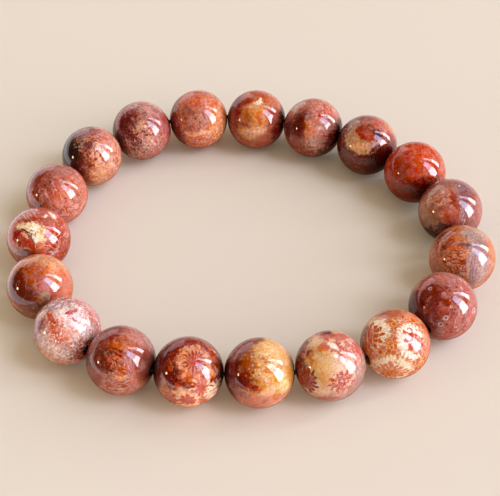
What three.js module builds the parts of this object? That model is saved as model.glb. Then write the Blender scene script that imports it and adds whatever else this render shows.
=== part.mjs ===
// A stretch bracelet of round polished beads of agatized fossil coral, lying flat as it was put down.
// Millimetres, +Z up. The origin is the middle of the bracelet's outline, at the level that it rests on.
// The view that it was modelled from looks along +Y; bead 1 is at the near left and the beads are
// numbered anticlockwise from it, seen from above.
import * as THREE from "three";

// The beads, all of one size, each drilled through its middle.
const BEAD_COUNT = 19;
const BEAD_RADIUS = 5;
const HOLE_RADIUS = 0.6;
const COUNTERSINK_RADIUS = 0.85;
const COUNTERSINK_DEPTH = 0.25;

// From one bead's middle to the next: the beads touch, less a hair's breadth.
const BEAD_PITCH = 10.05;

// The elastic cord that runs through every bead.
const CORD_RADIUS = 0.35;

// The loop as it lies on the table: a circle with a few low waves round it. Each wave has its number
// of peaks, how far it moves the loop out at a peak, and the direction of its first peak.
const LOOP_WAVES = [
  { peaks: 2, height: 3.16, peakAt: -11.8 },
  { peaks: 3, height: 0.85, peakAt: -17 },
  { peaks: 4, height: 0.22, peakAt: 41 },
  { peaks: 5, height: 0.15, peakAt: -7.4 },
];
const FIRST_BEAD_AT = -147.8;

// How finely the round forms are faceted. An odd number of strips puts a flat band round the bead's
// middle, so each bead has one flat facet right under it.
const FACETS_ROUND_BEAD = 20;
const STRIPS_ALONG_BEAD = 9;
const FACETS_ROUND_CORD = 6;

// Steps that halve an interval until it is far below a micrometre.
const HALVINGS = 40;

// The colour of each bead from 1 to 19, as the eye sees it from a step away.
const BEAD_COLOURS = [
  0xc98f7c, // pink and white, with red spots
  0x8e4330, // brown red, with a tan foot
  0xa04a2a, // dark red, with orange coral flowers
  0xc07a3c, // amber and cream
  0xbf8358, // honey, with red coral flowers
  0xd18a5c, // cream, with orange coral flowers
  0x93453a, // brown red, pitted
  0xa5593a, // orange brown, with a grey mauve patch
  0x7f4438, // mauve brown
  0xa8402a, // brick red
  0x74342a, // dark maroon, with a tan patch
  0x8f4a3c, // rose and maroon
  0x9a4e2e, // red, with an amber heart
  0xa95138, // orange red
  0x84493c, // maroon, with a tan net
  0x8a5136, // black to orange
  0x9c4f40, // brick pink
  0xa4553c, // red, with a cream seam
  0xa3512f, // orange
];
const CORD_COLOUR = 0x14100f;

const BEAD_FINISH = { roughness: 0.12, metalness: 0 };
const CORD_FINISH = { roughness: 0.6, metalness: 0 };

const FULL_TURN = 2 * Math.PI;
const radians = THREE.MathUtils.degToRad;

// The value between low and high at which isBelow stops being true.
function halve(low, high, isBelow) {
  for (let step = 0; step < HALVINGS; step++) {
    const middle = (low + high) / 2;
    if (isBelow(middle)) low = middle;
    else high = middle;
  }
  return (low + high) / 2;
}

// The point of the loop in one direction from its middle.
function loopPoint(direction, meanRadius) {
  let radius = meanRadius;
  for (const { peaks, height, peakAt } of LOOP_WAVES)
    radius += height * Math.cos(peaks * (direction - radians(peakAt)));
  return new THREE.Vector2(radius * Math.cos(direction), radius * Math.sin(direction));
}

// The directions of all the beads and of the place after the last, each one pitch on from the one before.
function beadDirections(meanRadius) {
  const directions = [radians(FIRST_BEAD_AT)];
  const widestStep = FULL_TURN / 6;
  while (directions.length <= BEAD_COUNT) {
    const here = directions.at(-1);
    const from = loopPoint(here, meanRadius);
    const isNearer = (there) => loopPoint(there, meanRadius).distanceTo(from) < BEAD_PITCH;
    directions.push(halve(here, here + widestStep, isNearer));
  }
  return directions;
}

// The middles of the beads, seen from above, about the middle of the outline. The loop's mean radius
// is the one at which the place after the last bead is the first bead's again.
function beadMiddles() {
  const evenRadius = BEAD_PITCH / (2 * Math.sin(Math.PI / BEAD_COUNT));
  const slack = 0.1 * evenRadius;
  const isTooTight = (radius) => beadDirections(radius).at(-1) - radians(FIRST_BEAD_AT) > FULL_TURN;
  const meanRadius = halve(evenRadius - slack, evenRadius + slack, isTooTight);
  const middles = beadDirections(meanRadius)
    .slice(0, BEAD_COUNT)
    .map((direction) => loopPoint(direction, meanRadius));
  const outlineMiddle = new THREE.Box2().setFromPoints(middles).getCenter(new THREE.Vector2());
  return middles.map((middle) => middle.sub(outlineMiddle));
}

// Half of a bead's section, closed on itself: the hole's wall, a countersink at each end of it, and
// the round outside between them.
function beadProfile() {
  const mouthAngle = Math.asin(COUNTERSINK_RADIUS / BEAD_RADIUS);
  const wallEnd = BEAD_RADIUS * Math.cos(mouthAngle) - COUNTERSINK_DEPTH;
  const outside = Array.from({ length: STRIPS_ALONG_BEAD + 1 }, (_, i) => {
    const angle = mouthAngle + ((Math.PI - 2 * mouthAngle) * i) / STRIPS_ALONG_BEAD;
    return new THREE.Vector2(BEAD_RADIUS * Math.sin(angle), -BEAD_RADIUS * Math.cos(angle));
  });
  const wallStart = new THREE.Vector2(HOLE_RADIUS, -wallEnd);
  return [wallStart, ...outside, new THREE.Vector2(HOLE_RADIUS, wallEnd), wallStart.clone()];
}

// A drilled bead along its own Y, with a flat facet facing down.
function beadGeometry() {
  const halfFacet = Math.PI / FACETS_ROUND_BEAD;
  return new THREE.LatheGeometry(beadProfile(), FACETS_ROUND_BEAD, halfFacet);
}

// How high a bead's middle is when its lowest facet lies on the table.
function restingHeight() {
  const mouthAngle = Math.asin(COUNTERSINK_RADIUS / BEAD_RADIUS);
  const halfStrip = (Math.PI - 2 * mouthAngle) / STRIPS_ALONG_BEAD / 2;
  return BEAD_RADIUS * Math.cos(halfStrip) * Math.cos(Math.PI / FACETS_ROUND_BEAD);
}

// Each bead's place and the direction of its hole, which lies along the line between its neighbours.
function strungBeads() {
  const height = restingHeight();
  const middles = beadMiddles().map(({ x, y }) => new THREE.Vector3(x, y, height));
  return middles.map((middle, i) => {
    const before = middles[(i + BEAD_COUNT - 1) % BEAD_COUNT];
    const after = middles[(i + 1) % BEAD_COUNT];
    return { middle, along: after.clone().sub(before).normalize() };
  });
}

// A closed path of straight runs, in which the corners come at even steps.
class CornerPath extends THREE.Curve {
  constructor(corners) {
    super();
    this.corners = corners;
  }

  getPoint(t, target = new THREE.Vector3()) {
    const { corners } = this;
    const place = t * corners.length;
    const start = Math.floor(place);
    const from = corners[start % corners.length];
    const to = corners[(start + 1) % corners.length];
    return target.lerpVectors(from, to, place - start);
  }

  getPointAt(u, target) {
    return this.getPoint(u, target);
  }

  getTangentAt(u, target) {
    return this.getTangent(u, target);
  }
}

// The cord runs straight through each hole and bends where two holes meet.
function cordGeometry(beads) {
  const corners = beads.flatMap(({ middle, along }, i) => {
    const next = beads[(i + 1) % BEAD_COUNT];
    const inner = BEAD_RADIUS / 2;
    const bend = middle
      .clone()
      .addScaledVector(along, BEAD_RADIUS)
      .add(next.middle.clone().addScaledVector(next.along, -BEAD_RADIUS))
      .multiplyScalar(0.5);
    return [
      middle.clone().addScaledVector(along, -inner),
      middle.clone().addScaledVector(along, inner),
      bend,
    ];
  });
  return new THREE.TubeGeometry(
    new CornerPath(corners),
    corners.length,
    CORD_RADIUS,
    FACETS_ROUND_CORD,
    true,
  );
}

function named(name, geometry, colour, finish) {
  const mesh = new THREE.Mesh(geometry, new THREE.MeshStandardMaterial({ color: colour, ...finish }));
  mesh.name = name;
  return mesh;
}

const bracelet = new THREE.Group();
const beads = strungBeads();

beads.forEach(({ middle, along }, i) => {
  const name = `bead_${String(i + 1).padStart(2, "0")}`;
  const bead = named(name, beadGeometry(), BEAD_COLOURS[i], BEAD_FINISH);
  bead.position.copy(middle);
  bead.rotation.z = Math.atan2(along.y, along.x) - Math.PI / 2;
  bracelet.add(bead);
});

bracelet.add(named("elastic_cord", cordGeometry(beads), CORD_COLOUR, CORD_FINISH));

export default bracelet;
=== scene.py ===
"""The looks of a stretch bracelet of round polished beads of agatized fossil coral.

Nineteen drilled stones lie in a ring on an elastic cord. Each stone has the markings that the photograph
shows on the side that faces it, with painted shade and a few painted reflections among them. They go on
round the stone, so its far side is as rich, but not the same.
"""

from __future__ import annotations

import logging
import math
from collections.abc import Mapping, Sequence
from dataclasses import dataclass, replace
from enum import Enum
from typing import ClassVar

import bpy
import numpy as np
from mathutils import Matrix, Vector


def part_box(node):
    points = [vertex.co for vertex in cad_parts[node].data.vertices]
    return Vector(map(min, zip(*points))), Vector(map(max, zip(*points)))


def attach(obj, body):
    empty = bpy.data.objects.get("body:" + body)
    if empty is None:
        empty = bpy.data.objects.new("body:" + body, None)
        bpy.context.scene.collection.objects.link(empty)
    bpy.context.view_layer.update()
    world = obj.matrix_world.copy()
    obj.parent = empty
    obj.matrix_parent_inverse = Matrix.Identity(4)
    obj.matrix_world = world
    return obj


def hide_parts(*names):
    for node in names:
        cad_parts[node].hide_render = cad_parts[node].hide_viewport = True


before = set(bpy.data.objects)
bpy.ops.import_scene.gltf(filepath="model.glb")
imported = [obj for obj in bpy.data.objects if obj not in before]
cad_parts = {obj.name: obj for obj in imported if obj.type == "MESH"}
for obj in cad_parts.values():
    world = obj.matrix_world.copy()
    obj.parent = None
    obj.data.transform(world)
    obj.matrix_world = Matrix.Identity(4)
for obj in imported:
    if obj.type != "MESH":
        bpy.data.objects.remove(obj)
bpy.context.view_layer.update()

LOG = logging.getLogger("bracelet")
MM = 0.001
BODY = "root"
BEAD_COUNT = 19
BEAD_RADIUS = 5.0 * MM
FULL_TURN = 2 * math.pi

# How far apart in the noise one seed is from the next, in bead radii.
SEED_STEP = (7.31, -3.17, 5.77)

Feed = bpy.types.NodeSocket | float | Sequence[float]
Sockets = bpy.types.bpy_prop_collection
Point = tuple[float, float]


def linear(colour: int) -> tuple[float, float, float, float]:
    """Turns a colour as it is seen on a screen into the light that it stands for, by the sRGB curve.

    Args:
        colour: Red, green and blue, a byte each, as in 0xRRGGBB.

    Returns:
        Red, green, blue and an alpha of 1, from 0 to 1.
    """
    seen = [(colour >> shift & 0xFF) / 255 for shift in (16, 8, 0)]
    light = [c / 12.92 if c <= 0.04045 else ((c + 0.055) / 1.055) ** 2.4 for c in seen]
    return (*light, 1.0)


def seed_shift(seed: int) -> Vector:
    """Returns a shift that gives each seed its own part of the endless noise."""
    return Vector([seed * step for step in SEED_STEP])


class SocketKind(Enum):
    """The kinds of socket that the node groups have."""

    NUMBER = "NodeSocketFloat"
    PLACE = "NodeSocketVector"


NUMBER = SocketKind.NUMBER
PLACE = SocketKind.PLACE


class Slot(Enum):
    """The record's material slots."""

    PALE = "coral_pale"
    AMBER = "coral_amber"
    RED = "coral_red"
    BROWN = "coral_brown"
    CORD = "cord"


class NodeSheet:
    """Adds nodes to one node tree, and sets their values and links as they are made."""

    # Noise keeps near its middle, so this brings its least and most to about -1 and 1.
    NOISE_GAIN: ClassVar[float] = 3.0
    NOISE_DETAIL: ClassVar[float] = 2.0

    def __init__(self, tree: bpy.types.NodeTree) -> None:
        """Starts on a tree.

        Args:
            tree: The node tree of a material, a world or a group.
        """
        self.tree = tree

    def feed(self, socket: bpy.types.NodeSocket, feed: Feed) -> None:
        """Links another node to a socket, or sets the socket's own value.

        Args:
            socket: The input to feed.
            feed: An output of another node, or a plain value.
        """
        if isinstance(feed, bpy.types.NodeSocket):
            self.tree.links.new(feed, socket)
        else:
            socket.default_value = feed

    def node(
        self, kind: str, feeds: Mapping[str | int, Feed] | None = None, **settings: object
    ) -> bpy.types.Node:
        """Adds a node.

        Args:
            kind: Blender's name for the kind of node.
            feeds: What goes into its inputs, by their name or number.
            **settings: The node's other settings.

        Returns:
            The new node.
        """
        made = self.tree.nodes.new(kind)
        for name, value in settings.items():
            setattr(made, name, value)
        for key, feed in (feeds or {}).items():
            self.feed(made.inputs[key], feed)
        return made

    def math(self, operation: str, *feeds: Feed) -> bpy.types.NodeSocket:
        """Does a sum on numbers.

        Args:
            operation: Blender's name for the sum.
            *feeds: The numbers, in order.

        Returns:
            The result.
        """
        return self.node("ShaderNodeMath", dict(enumerate(feeds)), operation=operation).outputs[0]

    def vector(self, operation: str, *feeds: Feed) -> bpy.types.NodeSocket:
        """Does a sum on vectors.

        Args:
            operation: Blender's name for the sum.
            *feeds: The vectors, in order.

        Returns:
            The result, a number where the sum gives one.
        """
        gives_number = operation in ("DOT_PRODUCT", "LENGTH", "DISTANCE")
        made = self.node("ShaderNodeVectorMath", dict(enumerate(feeds)), operation=operation)
        return made.outputs["Value" if gives_number else "Vector"]

    def scaled(self, vector: Feed, by: Feed) -> bpy.types.NodeSocket:
        """Makes a vector longer or shorter.

        Args:
            vector: The vector.
            by: How many times as long it gets.

        Returns:
            The vector at its new length.
        """
        return self.node("ShaderNodeVectorMath", {0: vector, "Scale": by}, operation="SCALE").outputs[0]

    def squeezed(self, vector: Feed, axis: Feed, stretch: Feed) -> bpy.types.NodeSocket:
        """Squeezes space along an axis, so that what is drawn there comes out stretched.

        Args:
            vector: The place.
            axis: The axis, of length 1.
            stretch: How many times as long things get along it.

        Returns:
            The squeezed place.
        """
        along = self.vector("DOT_PRODUCT", vector, axis)
        lost = self.math("SUBTRACT", 1.0, self.math("DIVIDE", 1.0, stretch))
        return self.vector("SUBTRACT", vector, self.scaled(axis, self.math("MULTIPLY", along, lost)))

    def ramp(self, value: Feed, low: Feed, high: Feed) -> bpy.types.NodeSocket:
        """Climbs smoothly from 0 to 1 as a value goes from low to high.

        Args:
            value: The value.
            low: Where the climb starts.
            high: Where it ends, which may be less than low.

        Returns:
            A number from 0 to 1.
        """
        feeds = {"Value": value, "From Min": low, "From Max": high}
        return self.node("ShaderNodeMapRange", feeds, interpolation_type="SMOOTHSTEP").outputs[0]

    def step(self, value: Feed, edge: Feed, soft: Feed) -> bpy.types.NodeSocket:
        """Falls smoothly from 1 to 0 as a value passes an edge.

        Args:
            value: The value.
            edge: Where the fall is half done.
            soft: How far on either side of the edge it starts and ends.

        Returns:
            A number from 0 to 1.
        """
        return self.ramp(value, self.math("ADD", edge, soft), self.math("SUBTRACT", edge, soft))

    def noise(self, place: Feed, scale: Feed, detail: Feed = NOISE_DETAIL) -> bpy.types.Node:
        """Adds cloudy noise.

        Args:
            place: Where on the stone.
            scale: How many clouds there are to a bead's radius.
            detail: How many finer sizes of cloud lie over them.

        Returns:
            The noise node, with its value under "Fac" and three values under "Color".
        """
        return self.node("ShaderNodeTexNoise", {"Vector": place, "Scale": scale, "Detail": detail})

    def wander(
        self, place: Feed, scale: Feed, by: Feed, detail: Feed = NOISE_DETAIL
    ) -> bpy.types.NodeSocket:
        """Gives a number that wanders about 0.

        Args:
            place: Where on the stone.
            scale: How many clouds there are to a bead's radius.
            by: About how far the number gets from 0, at the most.
            detail: How many finer sizes of cloud there are.

        Returns:
            The number.
        """
        cloud = self.math("SUBTRACT", self.noise(place, scale, detail).outputs["Fac"], 0.5)
        return self.math("MULTIPLY", self.math("MULTIPLY", cloud, self.NOISE_GAIN), by)

    def mix(self, below: Feed, above: Feed, share: Feed) -> bpy.types.NodeSocket:
        """Lays one colour over another.

        Args:
            below: The colour underneath.
            above: The colour on top.
            share: How much of it there is, from 0 to 1.

        Returns:
            The mixed colour.
        """
        feeds = {0: share, 6: below, 7: above}
        return self.node("ShaderNodeMix", feeds, data_type="RGBA").outputs[2]


def linked(name: str, data: bpy.types.ID) -> bpy.types.Object:
    """Makes an object and puts it in the scene.

    Args:
        name: Its name.
        data: Its mesh, light or camera.

    Returns:
        The object.
    """
    made = bpy.data.objects.new(name, data)
    bpy.context.scene.collection.objects.link(made)
    return made


def new_material(name: str) -> tuple[bpy.types.Material, NodeSheet, Sockets]:
    """Makes a plain material.

    Args:
        name: Its name.

    Returns:
        The material, its nodes, and the inputs of its surface.
    """
    made = bpy.data.materials.new(name)
    made.use_nodes = True
    return made, NodeSheet(made.node_tree), made.node_tree.nodes["Principled BSDF"].inputs


@dataclass(frozen=True)
class PhotoSide:
    """The side of a stone that faces the photograph's camera, as a disc of radius 1, across and up."""

    across: Vector
    up: Vector
    towards: Vector

    # How far the markings have turned by the middle of the far side.
    FAR_TURN: ClassVar[float] = math.radians(75)
    FAR_FROM: ClassVar[float] = 0.1
    FAR_TO: ClassVar[float] = -0.9

    # The least slope, for headings right at the disc's edge.
    LEAST_DEPTH: ClassVar[float] = 0.15

    def direction(self, at: Point) -> Vector:
        """Finds a place on the disc on the stone itself.

        Args:
            at: The place, across and up.

        Returns:
            The direction from the stone's middle.
        """
        depth = math.sqrt(max(0.0, 1 - at[0] ** 2 - at[1] ** 2))
        return (self.across * at[0] + self.up * at[1] + self.towards * depth).normalized()

    def heading(self, turn: float) -> Vector:
        """Finds a heading in the plane of the disc.

        Args:
            turn: Degrees anticlockwise from the disc's across.

        Returns:
            The heading, of length 1.
        """
        return self.across * math.cos(math.radians(turn)) + self.up * math.sin(math.radians(turn))

    def surface_heading(self, at: Point, turn: float) -> Vector:
        """Finds the heading along the stone's surface that shows as a heading on the disc.

        Args:
            at: The place, across and up.
            turn: Degrees anticlockwise from the disc's across.

        Returns:
            The heading along the surface, of length 1.
        """
        here, heading = self.direction(at), self.heading(turn)
        depth = max(self.LEAST_DEPTH, here.dot(self.towards))
        return (heading - self.towards * (heading.dot(here) / depth)).normalized()

    def folded(self, points: np.ndarray) -> np.ndarray:
        """Finds the places on the disc's side whose markings points get, as the Fold effect does.

        Args:
            points: Rows of places, in bead radii from the stone's middle.

        Returns:
            The same rows, with those on the far side turned and brought forward.
        """
        across, up, towards = (np.array(axis) for axis in (self.across, self.up, self.towards))
        depth = points @ towards
        share = np.clip((depth - self.FAR_FROM) / (self.FAR_TO - self.FAR_FROM), 0, 1)
        turn = self.FAR_TURN * share**2 * (3 - 2 * share)
        u, v = points @ across, points @ up
        turned_u, turned_v = u * np.cos(turn) - v * np.sin(turn), u * np.sin(turn) + v * np.cos(turn)
        return np.outer(turned_u, across) + np.outer(turned_v, up) + np.outer(np.abs(depth), towards)


@dataclass(frozen=True)
class Effect:
    """An effect of the stones' materials. Each kind is one node group, and its fields feed the inputs."""

    TAKES: ClassVar[Mapping[str, SocketKind]] = {}
    GIVES: ClassVar[Mapping[str, SocketKind]] = {}

    @classmethod
    def draw(cls, sheet: NodeSheet, taken: Sockets) -> Mapping[str, Feed]:
        """Draws the effect's nodes in its group.

        Args:
            sheet: The group's nodes.
            taken: The group's inputs, by name.

        Returns:
            What goes to each of the group's outputs.
        """
        raise NotImplementedError

    @classmethod
    def group(cls) -> bpy.types.NodeTree:
        """Returns the effect's node group, which is built the first time."""
        name = f"Coral {cls.__name__.lower()}"
        made = bpy.data.node_groups.get(name)
        if made is None:
            made = bpy.data.node_groups.new(name, "ShaderNodeTree")
            for socket, kind in {"Place": PLACE, **cls.TAKES}.items():
                made.interface.new_socket(socket, in_out="INPUT", socket_type=kind.value)
            for socket, kind in cls.GIVES.items():
                made.interface.new_socket(socket, in_out="OUTPUT", socket_type=kind.value)
            sheet = NodeSheet(made)
            sheet.node("NodeGroupOutput", cls.draw(sheet, sheet.node("NodeGroupInput").outputs))
        return made

    def values(self, side: PhotoSide) -> dict[str, Feed]:
        """Works out what goes into the group's inputs.

        Args:
            side: The stone's side in the photograph.

        Returns:
            The value of each input: the field of the same name, or for a shift, the seed's.
        """
        found = {name: getattr(self, name.lower()) for name in self.TAKES if hasattr(self, name.lower())}
        if "Shift" in self.TAKES:
            found["Shift"] = seed_shift(getattr(self, "seed"))
        return found

    def lay(self, sheet: NodeSheet, place: Feed, side: PhotoSide, **more: Feed) -> Sockets:
        """Puts the effect in a stone's material.

        Args:
            sheet: The material's nodes.
            place: The place on the stone, in bead radii from its middle.
            side: The stone's side in the photograph.
            **more: What goes into inputs that are not fields of the effect.

        Returns:
            The group's outputs, by name.
        """
        feeds = {"Place": place, **self.values(side), **more}
        made = sheet.node("ShaderNodeGroup", node_tree=self.group())
        for name, feed in feeds.items():
            sheet.feed(made.inputs[name], feed)
        return made.outputs


@dataclass(frozen=True)
class Fold(Effect):
    """Carries the markings on round the stone: its far side gets the near side's, turned on the way."""

    TAKES = {"Towards": PLACE}
    GIVES = {"Place": PLACE}

    @classmethod
    def draw(cls, sheet: NodeSheet, taken: Sockets) -> Mapping[str, Feed]:
        """Turns the place about the line to the camera, and brings it forward."""
        depth = sheet.vector("DOT_PRODUCT", taken["Place"], taken["Towards"])
        share = sheet.ramp(depth, PhotoSide.FAR_FROM, PhotoSide.FAR_TO)
        turn = sheet.math("MULTIPLY", share, PhotoSide.FAR_TURN)
        feeds = {"Vector": taken["Place"], "Axis": taken["Towards"], "Angle": turn}
        turned = sheet.node("ShaderNodeVectorRotate", feeds, rotation_type="AXIS_ANGLE").outputs[0]
        forward = sheet.math("SUBTRACT", sheet.math("ABSOLUTE", depth), depth)
        return {"Place": sheet.vector("ADD", turned, sheet.scaled(taken["Towards"], forward))}

    def values(self, side: PhotoSide) -> dict[str, Feed]:
        """Returns the direction of the camera."""
        return {"Towards": side.towards}


@dataclass(frozen=True)
class Drift(Effect):
    """Makes the markings wander, widely and finely, in bead radii, so that nothing on a stone is exact."""

    wide: float = 0.1
    fine: float = 0.03
    seed: int = 0

    TAKES = {"Wide": NUMBER, "Fine": NUMBER, "Shift": PLACE}
    GIVES = {"Place": PLACE}

    WIDE_SCALE: ClassVar[float] = 1.7
    FINE_SCALE: ClassVar[float] = 9.0

    @classmethod
    def draw(cls, sheet: NodeSheet, taken: Sockets) -> Mapping[str, Feed]:
        """Moves the place by wide noise and by fine noise."""
        place = taken["Place"]
        shifted = sheet.vector("ADD", place, taken["Shift"])
        for scale, reach in ((cls.WIDE_SCALE, taken["Wide"]), (cls.FINE_SCALE, taken["Fine"])):
            cloud = sheet.noise(shifted, scale).outputs["Color"]
            away = sheet.scaled(sheet.vector("SUBTRACT", cloud, (0.5, 0.5, 0.5)), sheet.NOISE_GAIN)
            place = sheet.vector("ADD", place, sheet.scaled(away, reach))
        return {"Place": place}


@dataclass(frozen=True)
class Grain(Effect):
    """The fine lights and darks of the stone itself, which lie over all its markings."""

    cloud: float = 0.3
    fleck: float = 0.5
    scale: float = 10.0
    seed: int = 0

    TAKES = {"Cloud": NUMBER, "Fleck": NUMBER, "Scale": NUMBER, "Shift": PLACE}
    GIVES = {"Light": NUMBER, "Hue": NUMBER, "Richness": NUMBER, "Level": NUMBER}

    CLOUD_SCALE: ClassVar[float] = 3.5
    CLOUD_DETAIL: ClassVar[float] = 3.0
    FLECK_DETAIL: ClassVar[float] = 4.0
    TINT_SCALE: ClassVar[float] = 5.0
    TINT_DETAIL: ClassVar[float] = 4.0
    HUE_REACH: ClassVar[float] = 0.012
    RICHNESS_REACH: ClassVar[float] = 0.25
    LEVEL_SCALE: ClassVar[float] = 13.0
    LEVEL_DETAIL: ClassVar[float] = 3.0
    LEVEL_REACH: ClassVar[float] = 0.75
    LEVEL_ENDS: ClassVar[Point] = (0.12, 0.88)

    @classmethod
    def draw(cls, sheet: NodeSheet, taken: Sockets) -> Mapping[str, Feed]:
        """Adds soft clouds and fine flecks to an even light of 1, and lets the tint wander too."""
        place = sheet.vector("ADD", taken["Place"], taken["Shift"])
        clouds = sheet.wander(place, cls.CLOUD_SCALE, taken["Cloud"], cls.CLOUD_DETAIL)
        flecks = sheet.wander(place, taken["Scale"], taken["Fleck"], cls.FLECK_DETAIL)
        light = sheet.math("ADD", 1.0, sheet.math("ADD", clouds, flecks))
        other = [sheet.vector("ADD", place, seed_shift(step)) for step in (1, 2, 3)]
        hue = sheet.wander(other[0], cls.TINT_SCALE, cls.HUE_REACH, cls.TINT_DETAIL)
        richness = sheet.wander(other[1], cls.TINT_SCALE, cls.RICHNESS_REACH, cls.TINT_DETAIL)
        level = sheet.wander(other[2], cls.LEVEL_SCALE, cls.LEVEL_REACH, cls.LEVEL_DETAIL)
        level = sheet.math("MAXIMUM", sheet.math("ADD", 0.5, level), cls.LEVEL_ENDS[0])
        return {
            "Light": light,
            "Hue": sheet.math("ADD", 0.5, hue),
            "Richness": sheet.math("ADD", 1.0, richness),
            "Level": sheet.math("MINIMUM", level, cls.LEVEL_ENDS[1]),
        }


@dataclass(frozen=True)
class Polish(Effect):
    """The polished surface: how rough it is from place to place, and its faint waves and pinholes."""

    gloss: float = 0.05
    seed: int = 0

    TAKES = {"Gloss": NUMBER, "Shift": PLACE}
    GIVES = {"Roughness": NUMBER, "Height": NUMBER}

    SMEAR_SCALE: ClassVar[float] = 5.0
    SMEAR_DETAIL: ClassVar[float] = 3.0
    SMEAR_REACH: ClassVar[float] = 0.5
    WAVE_SCALE: ClassVar[float] = 3.5
    WAVE_DETAIL: ClassVar[float] = 1.0
    WAVE_REACH: ClassVar[float] = 0.5
    PINHOLE_SCALE: ClassVar[float] = 14.0
    PINHOLE_SIZE: ClassVar[float] = 0.09
    PINHOLE_SHARE: ClassVar[float] = 0.12
    PINHOLE_ROUGHNESS: ClassVar[float] = 0.25

    @classmethod
    def draw(cls, sheet: NodeSheet, taken: Sockets) -> Mapping[str, Feed]:
        """Smears the gloss, and sums the waves and the pinholes."""
        place = sheet.vector("ADD", taken["Place"], taken["Shift"])
        smear = sheet.wander(place, cls.SMEAR_SCALE, cls.SMEAR_REACH, cls.SMEAR_DETAIL)
        holes = sheet.node("ShaderNodeTexVoronoi", {"Vector": place, "Scale": cls.PINHOLE_SCALE})
        chance = sheet.vector("DOT_PRODUCT", holes.outputs["Color"], (1, 0, 0))
        pick = sheet.math("LESS_THAN", chance, cls.PINHOLE_SHARE)
        hole = sheet.step(holes.outputs["Distance"], cls.PINHOLE_SIZE, cls.PINHOLE_SIZE / 2)
        hole = sheet.math("MULTIPLY", hole, pick)
        rough = sheet.math("MULTIPLY", taken["Gloss"], sheet.math("ADD", 1.0, smear))
        rough = sheet.math("MULTIPLY_ADD", hole, cls.PINHOLE_ROUGHNESS, rough)
        waves = sheet.wander(place, cls.WAVE_SCALE, cls.WAVE_REACH, cls.WAVE_DETAIL)
        return {"Roughness": rough, "Height": sheet.math("SUBTRACT", waves, hole)}


@dataclass(frozen=True)
class Ends(Effect):
    """The shade that gathers on a bead round the two mouths of its hole, where its neighbours sit close."""

    shade: float = 0.6
    seed: int = 0

    TAKES = {"Along": PLACE, "Shade": NUMBER, "Shift": PLACE}
    GIVES = {"Cover": NUMBER}

    # The cosines of the angles from the hole at which the shade begins and is full.
    FROM: ClassVar[float] = 0.78
    TO: ClassVar[float] = 0.99
    WANDER_SCALE: ClassVar[float] = 3.0
    WANDER_REACH: ClassVar[float] = 0.04

    @classmethod
    def draw(cls, sheet: NodeSheet, taken: Sockets) -> Mapping[str, Feed]:
        """Measures how near the place is to the hole's line."""
        place = sheet.vector("NORMALIZE", taken["Place"])
        near = sheet.math("ABSOLUTE", sheet.vector("DOT_PRODUCT", place, taken["Along"]))
        shifted = sheet.vector("ADD", place, taken["Shift"])
        near = sheet.math("ADD", near, sheet.wander(shifted, cls.WANDER_SCALE, cls.WANDER_REACH))
        return {"Cover": sheet.math("MULTIPLY", sheet.ramp(near, cls.FROM, cls.TO), taken["Shade"])}


@dataclass(frozen=True)
class Pattern(Effect):
    """A pattern that covers part of a stone. It gives how much of it there is at a place, from 0 to 1."""

    GIVES = {"Cover": NUMBER}
    PLACED: ClassVar[bool] = False


@dataclass(frozen=True)
class Placed(Pattern):
    """A pattern at one place on the disc, and at one on the far side. Size is its reach in bead radii."""

    at: Point = (0.0, 0.0)
    size: float = 0.3
    stretch: float = 1.0
    turn: float = 0.0
    soft: float = 0.2
    ragged: float = 0.3
    seed: int = 0

    TAKES = {
        "Centre": PLACE,
        "Along": PLACE,
        "Size": NUMBER,
        "Stretch": NUMBER,
        "Soft": NUMBER,
        "Ragged": NUMBER,
        "Shift": PLACE,
    }
    PLACED = True

    FRAY_SCALE: ClassVar[float] = 2.4
    FRAY_DETAIL: ClassVar[float] = 3.0

    @classmethod
    def offset(cls, sheet: NodeSheet, taken: Sockets) -> bpy.types.NodeSocket:
        """Measures how far off the centre a place is, in sizes, as a vector."""
        off = sheet.vector("SUBTRACT", taken["Place"], taken["Centre"])
        squeezed = sheet.squeezed(off, taken["Along"], taken["Stretch"])
        return sheet.scaled(squeezed, sheet.math("DIVIDE", 1.0, taken["Size"]))

    @classmethod
    def fray(cls, sheet: NodeSheet, taken: Sockets) -> bpy.types.NodeSocket:
        """Gives the amount by which the pattern's edge wanders, in sizes."""
        place = sheet.vector("ADD", taken["Place"], taken["Shift"])
        scale = sheet.math("DIVIDE", cls.FRAY_SCALE, taken["Size"])
        return sheet.wander(place, scale, taken["Ragged"], cls.FRAY_DETAIL)

    def values(self, side: PhotoSide) -> dict[str, Feed]:
        """Works out the inputs, with the centre and the axis that it is stretched along."""
        along = side.surface_heading(self.at, self.turn)
        return {**super().values(side), "Centre": side.direction(self.at), "Along": along}


@dataclass(frozen=True)
class Spot(Placed):
    """A patch round one place: a disc, or an oval if it is stretched."""

    @classmethod
    def draw(cls, sheet: NodeSheet, taken: Sockets) -> Mapping[str, Feed]:
        """Cuts the distance from the centre off at the edge."""
        reach = sheet.vector("LENGTH", cls.offset(sheet, taken))
        reach = sheet.math("ADD", reach, cls.fray(sheet, taken))
        return {"Cover": sheet.step(reach, 1.0, taken["Soft"])}


@dataclass(frozen=True)
class Ring(Placed):
    """A loop round one place. Its width is a share of its size."""

    width: float = 0.2

    TAKES = {**Placed.TAKES, "Width": NUMBER}

    @classmethod
    def draw(cls, sheet: NodeSheet, taken: Sockets) -> Mapping[str, Feed]:
        """Keeps the places whose distance from the centre is near the size."""
        reach = sheet.vector("LENGTH", cls.offset(sheet, taken))
        reach = sheet.math("ADD", reach, cls.fray(sheet, taken))
        off = sheet.math("ABSOLUTE", sheet.math("SUBTRACT", reach, 1.0))
        soft = sheet.math("MULTIPLY", taken["Width"], taken["Soft"])
        return {"Cover": sheet.step(off, taken["Width"], soft)}


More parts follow.
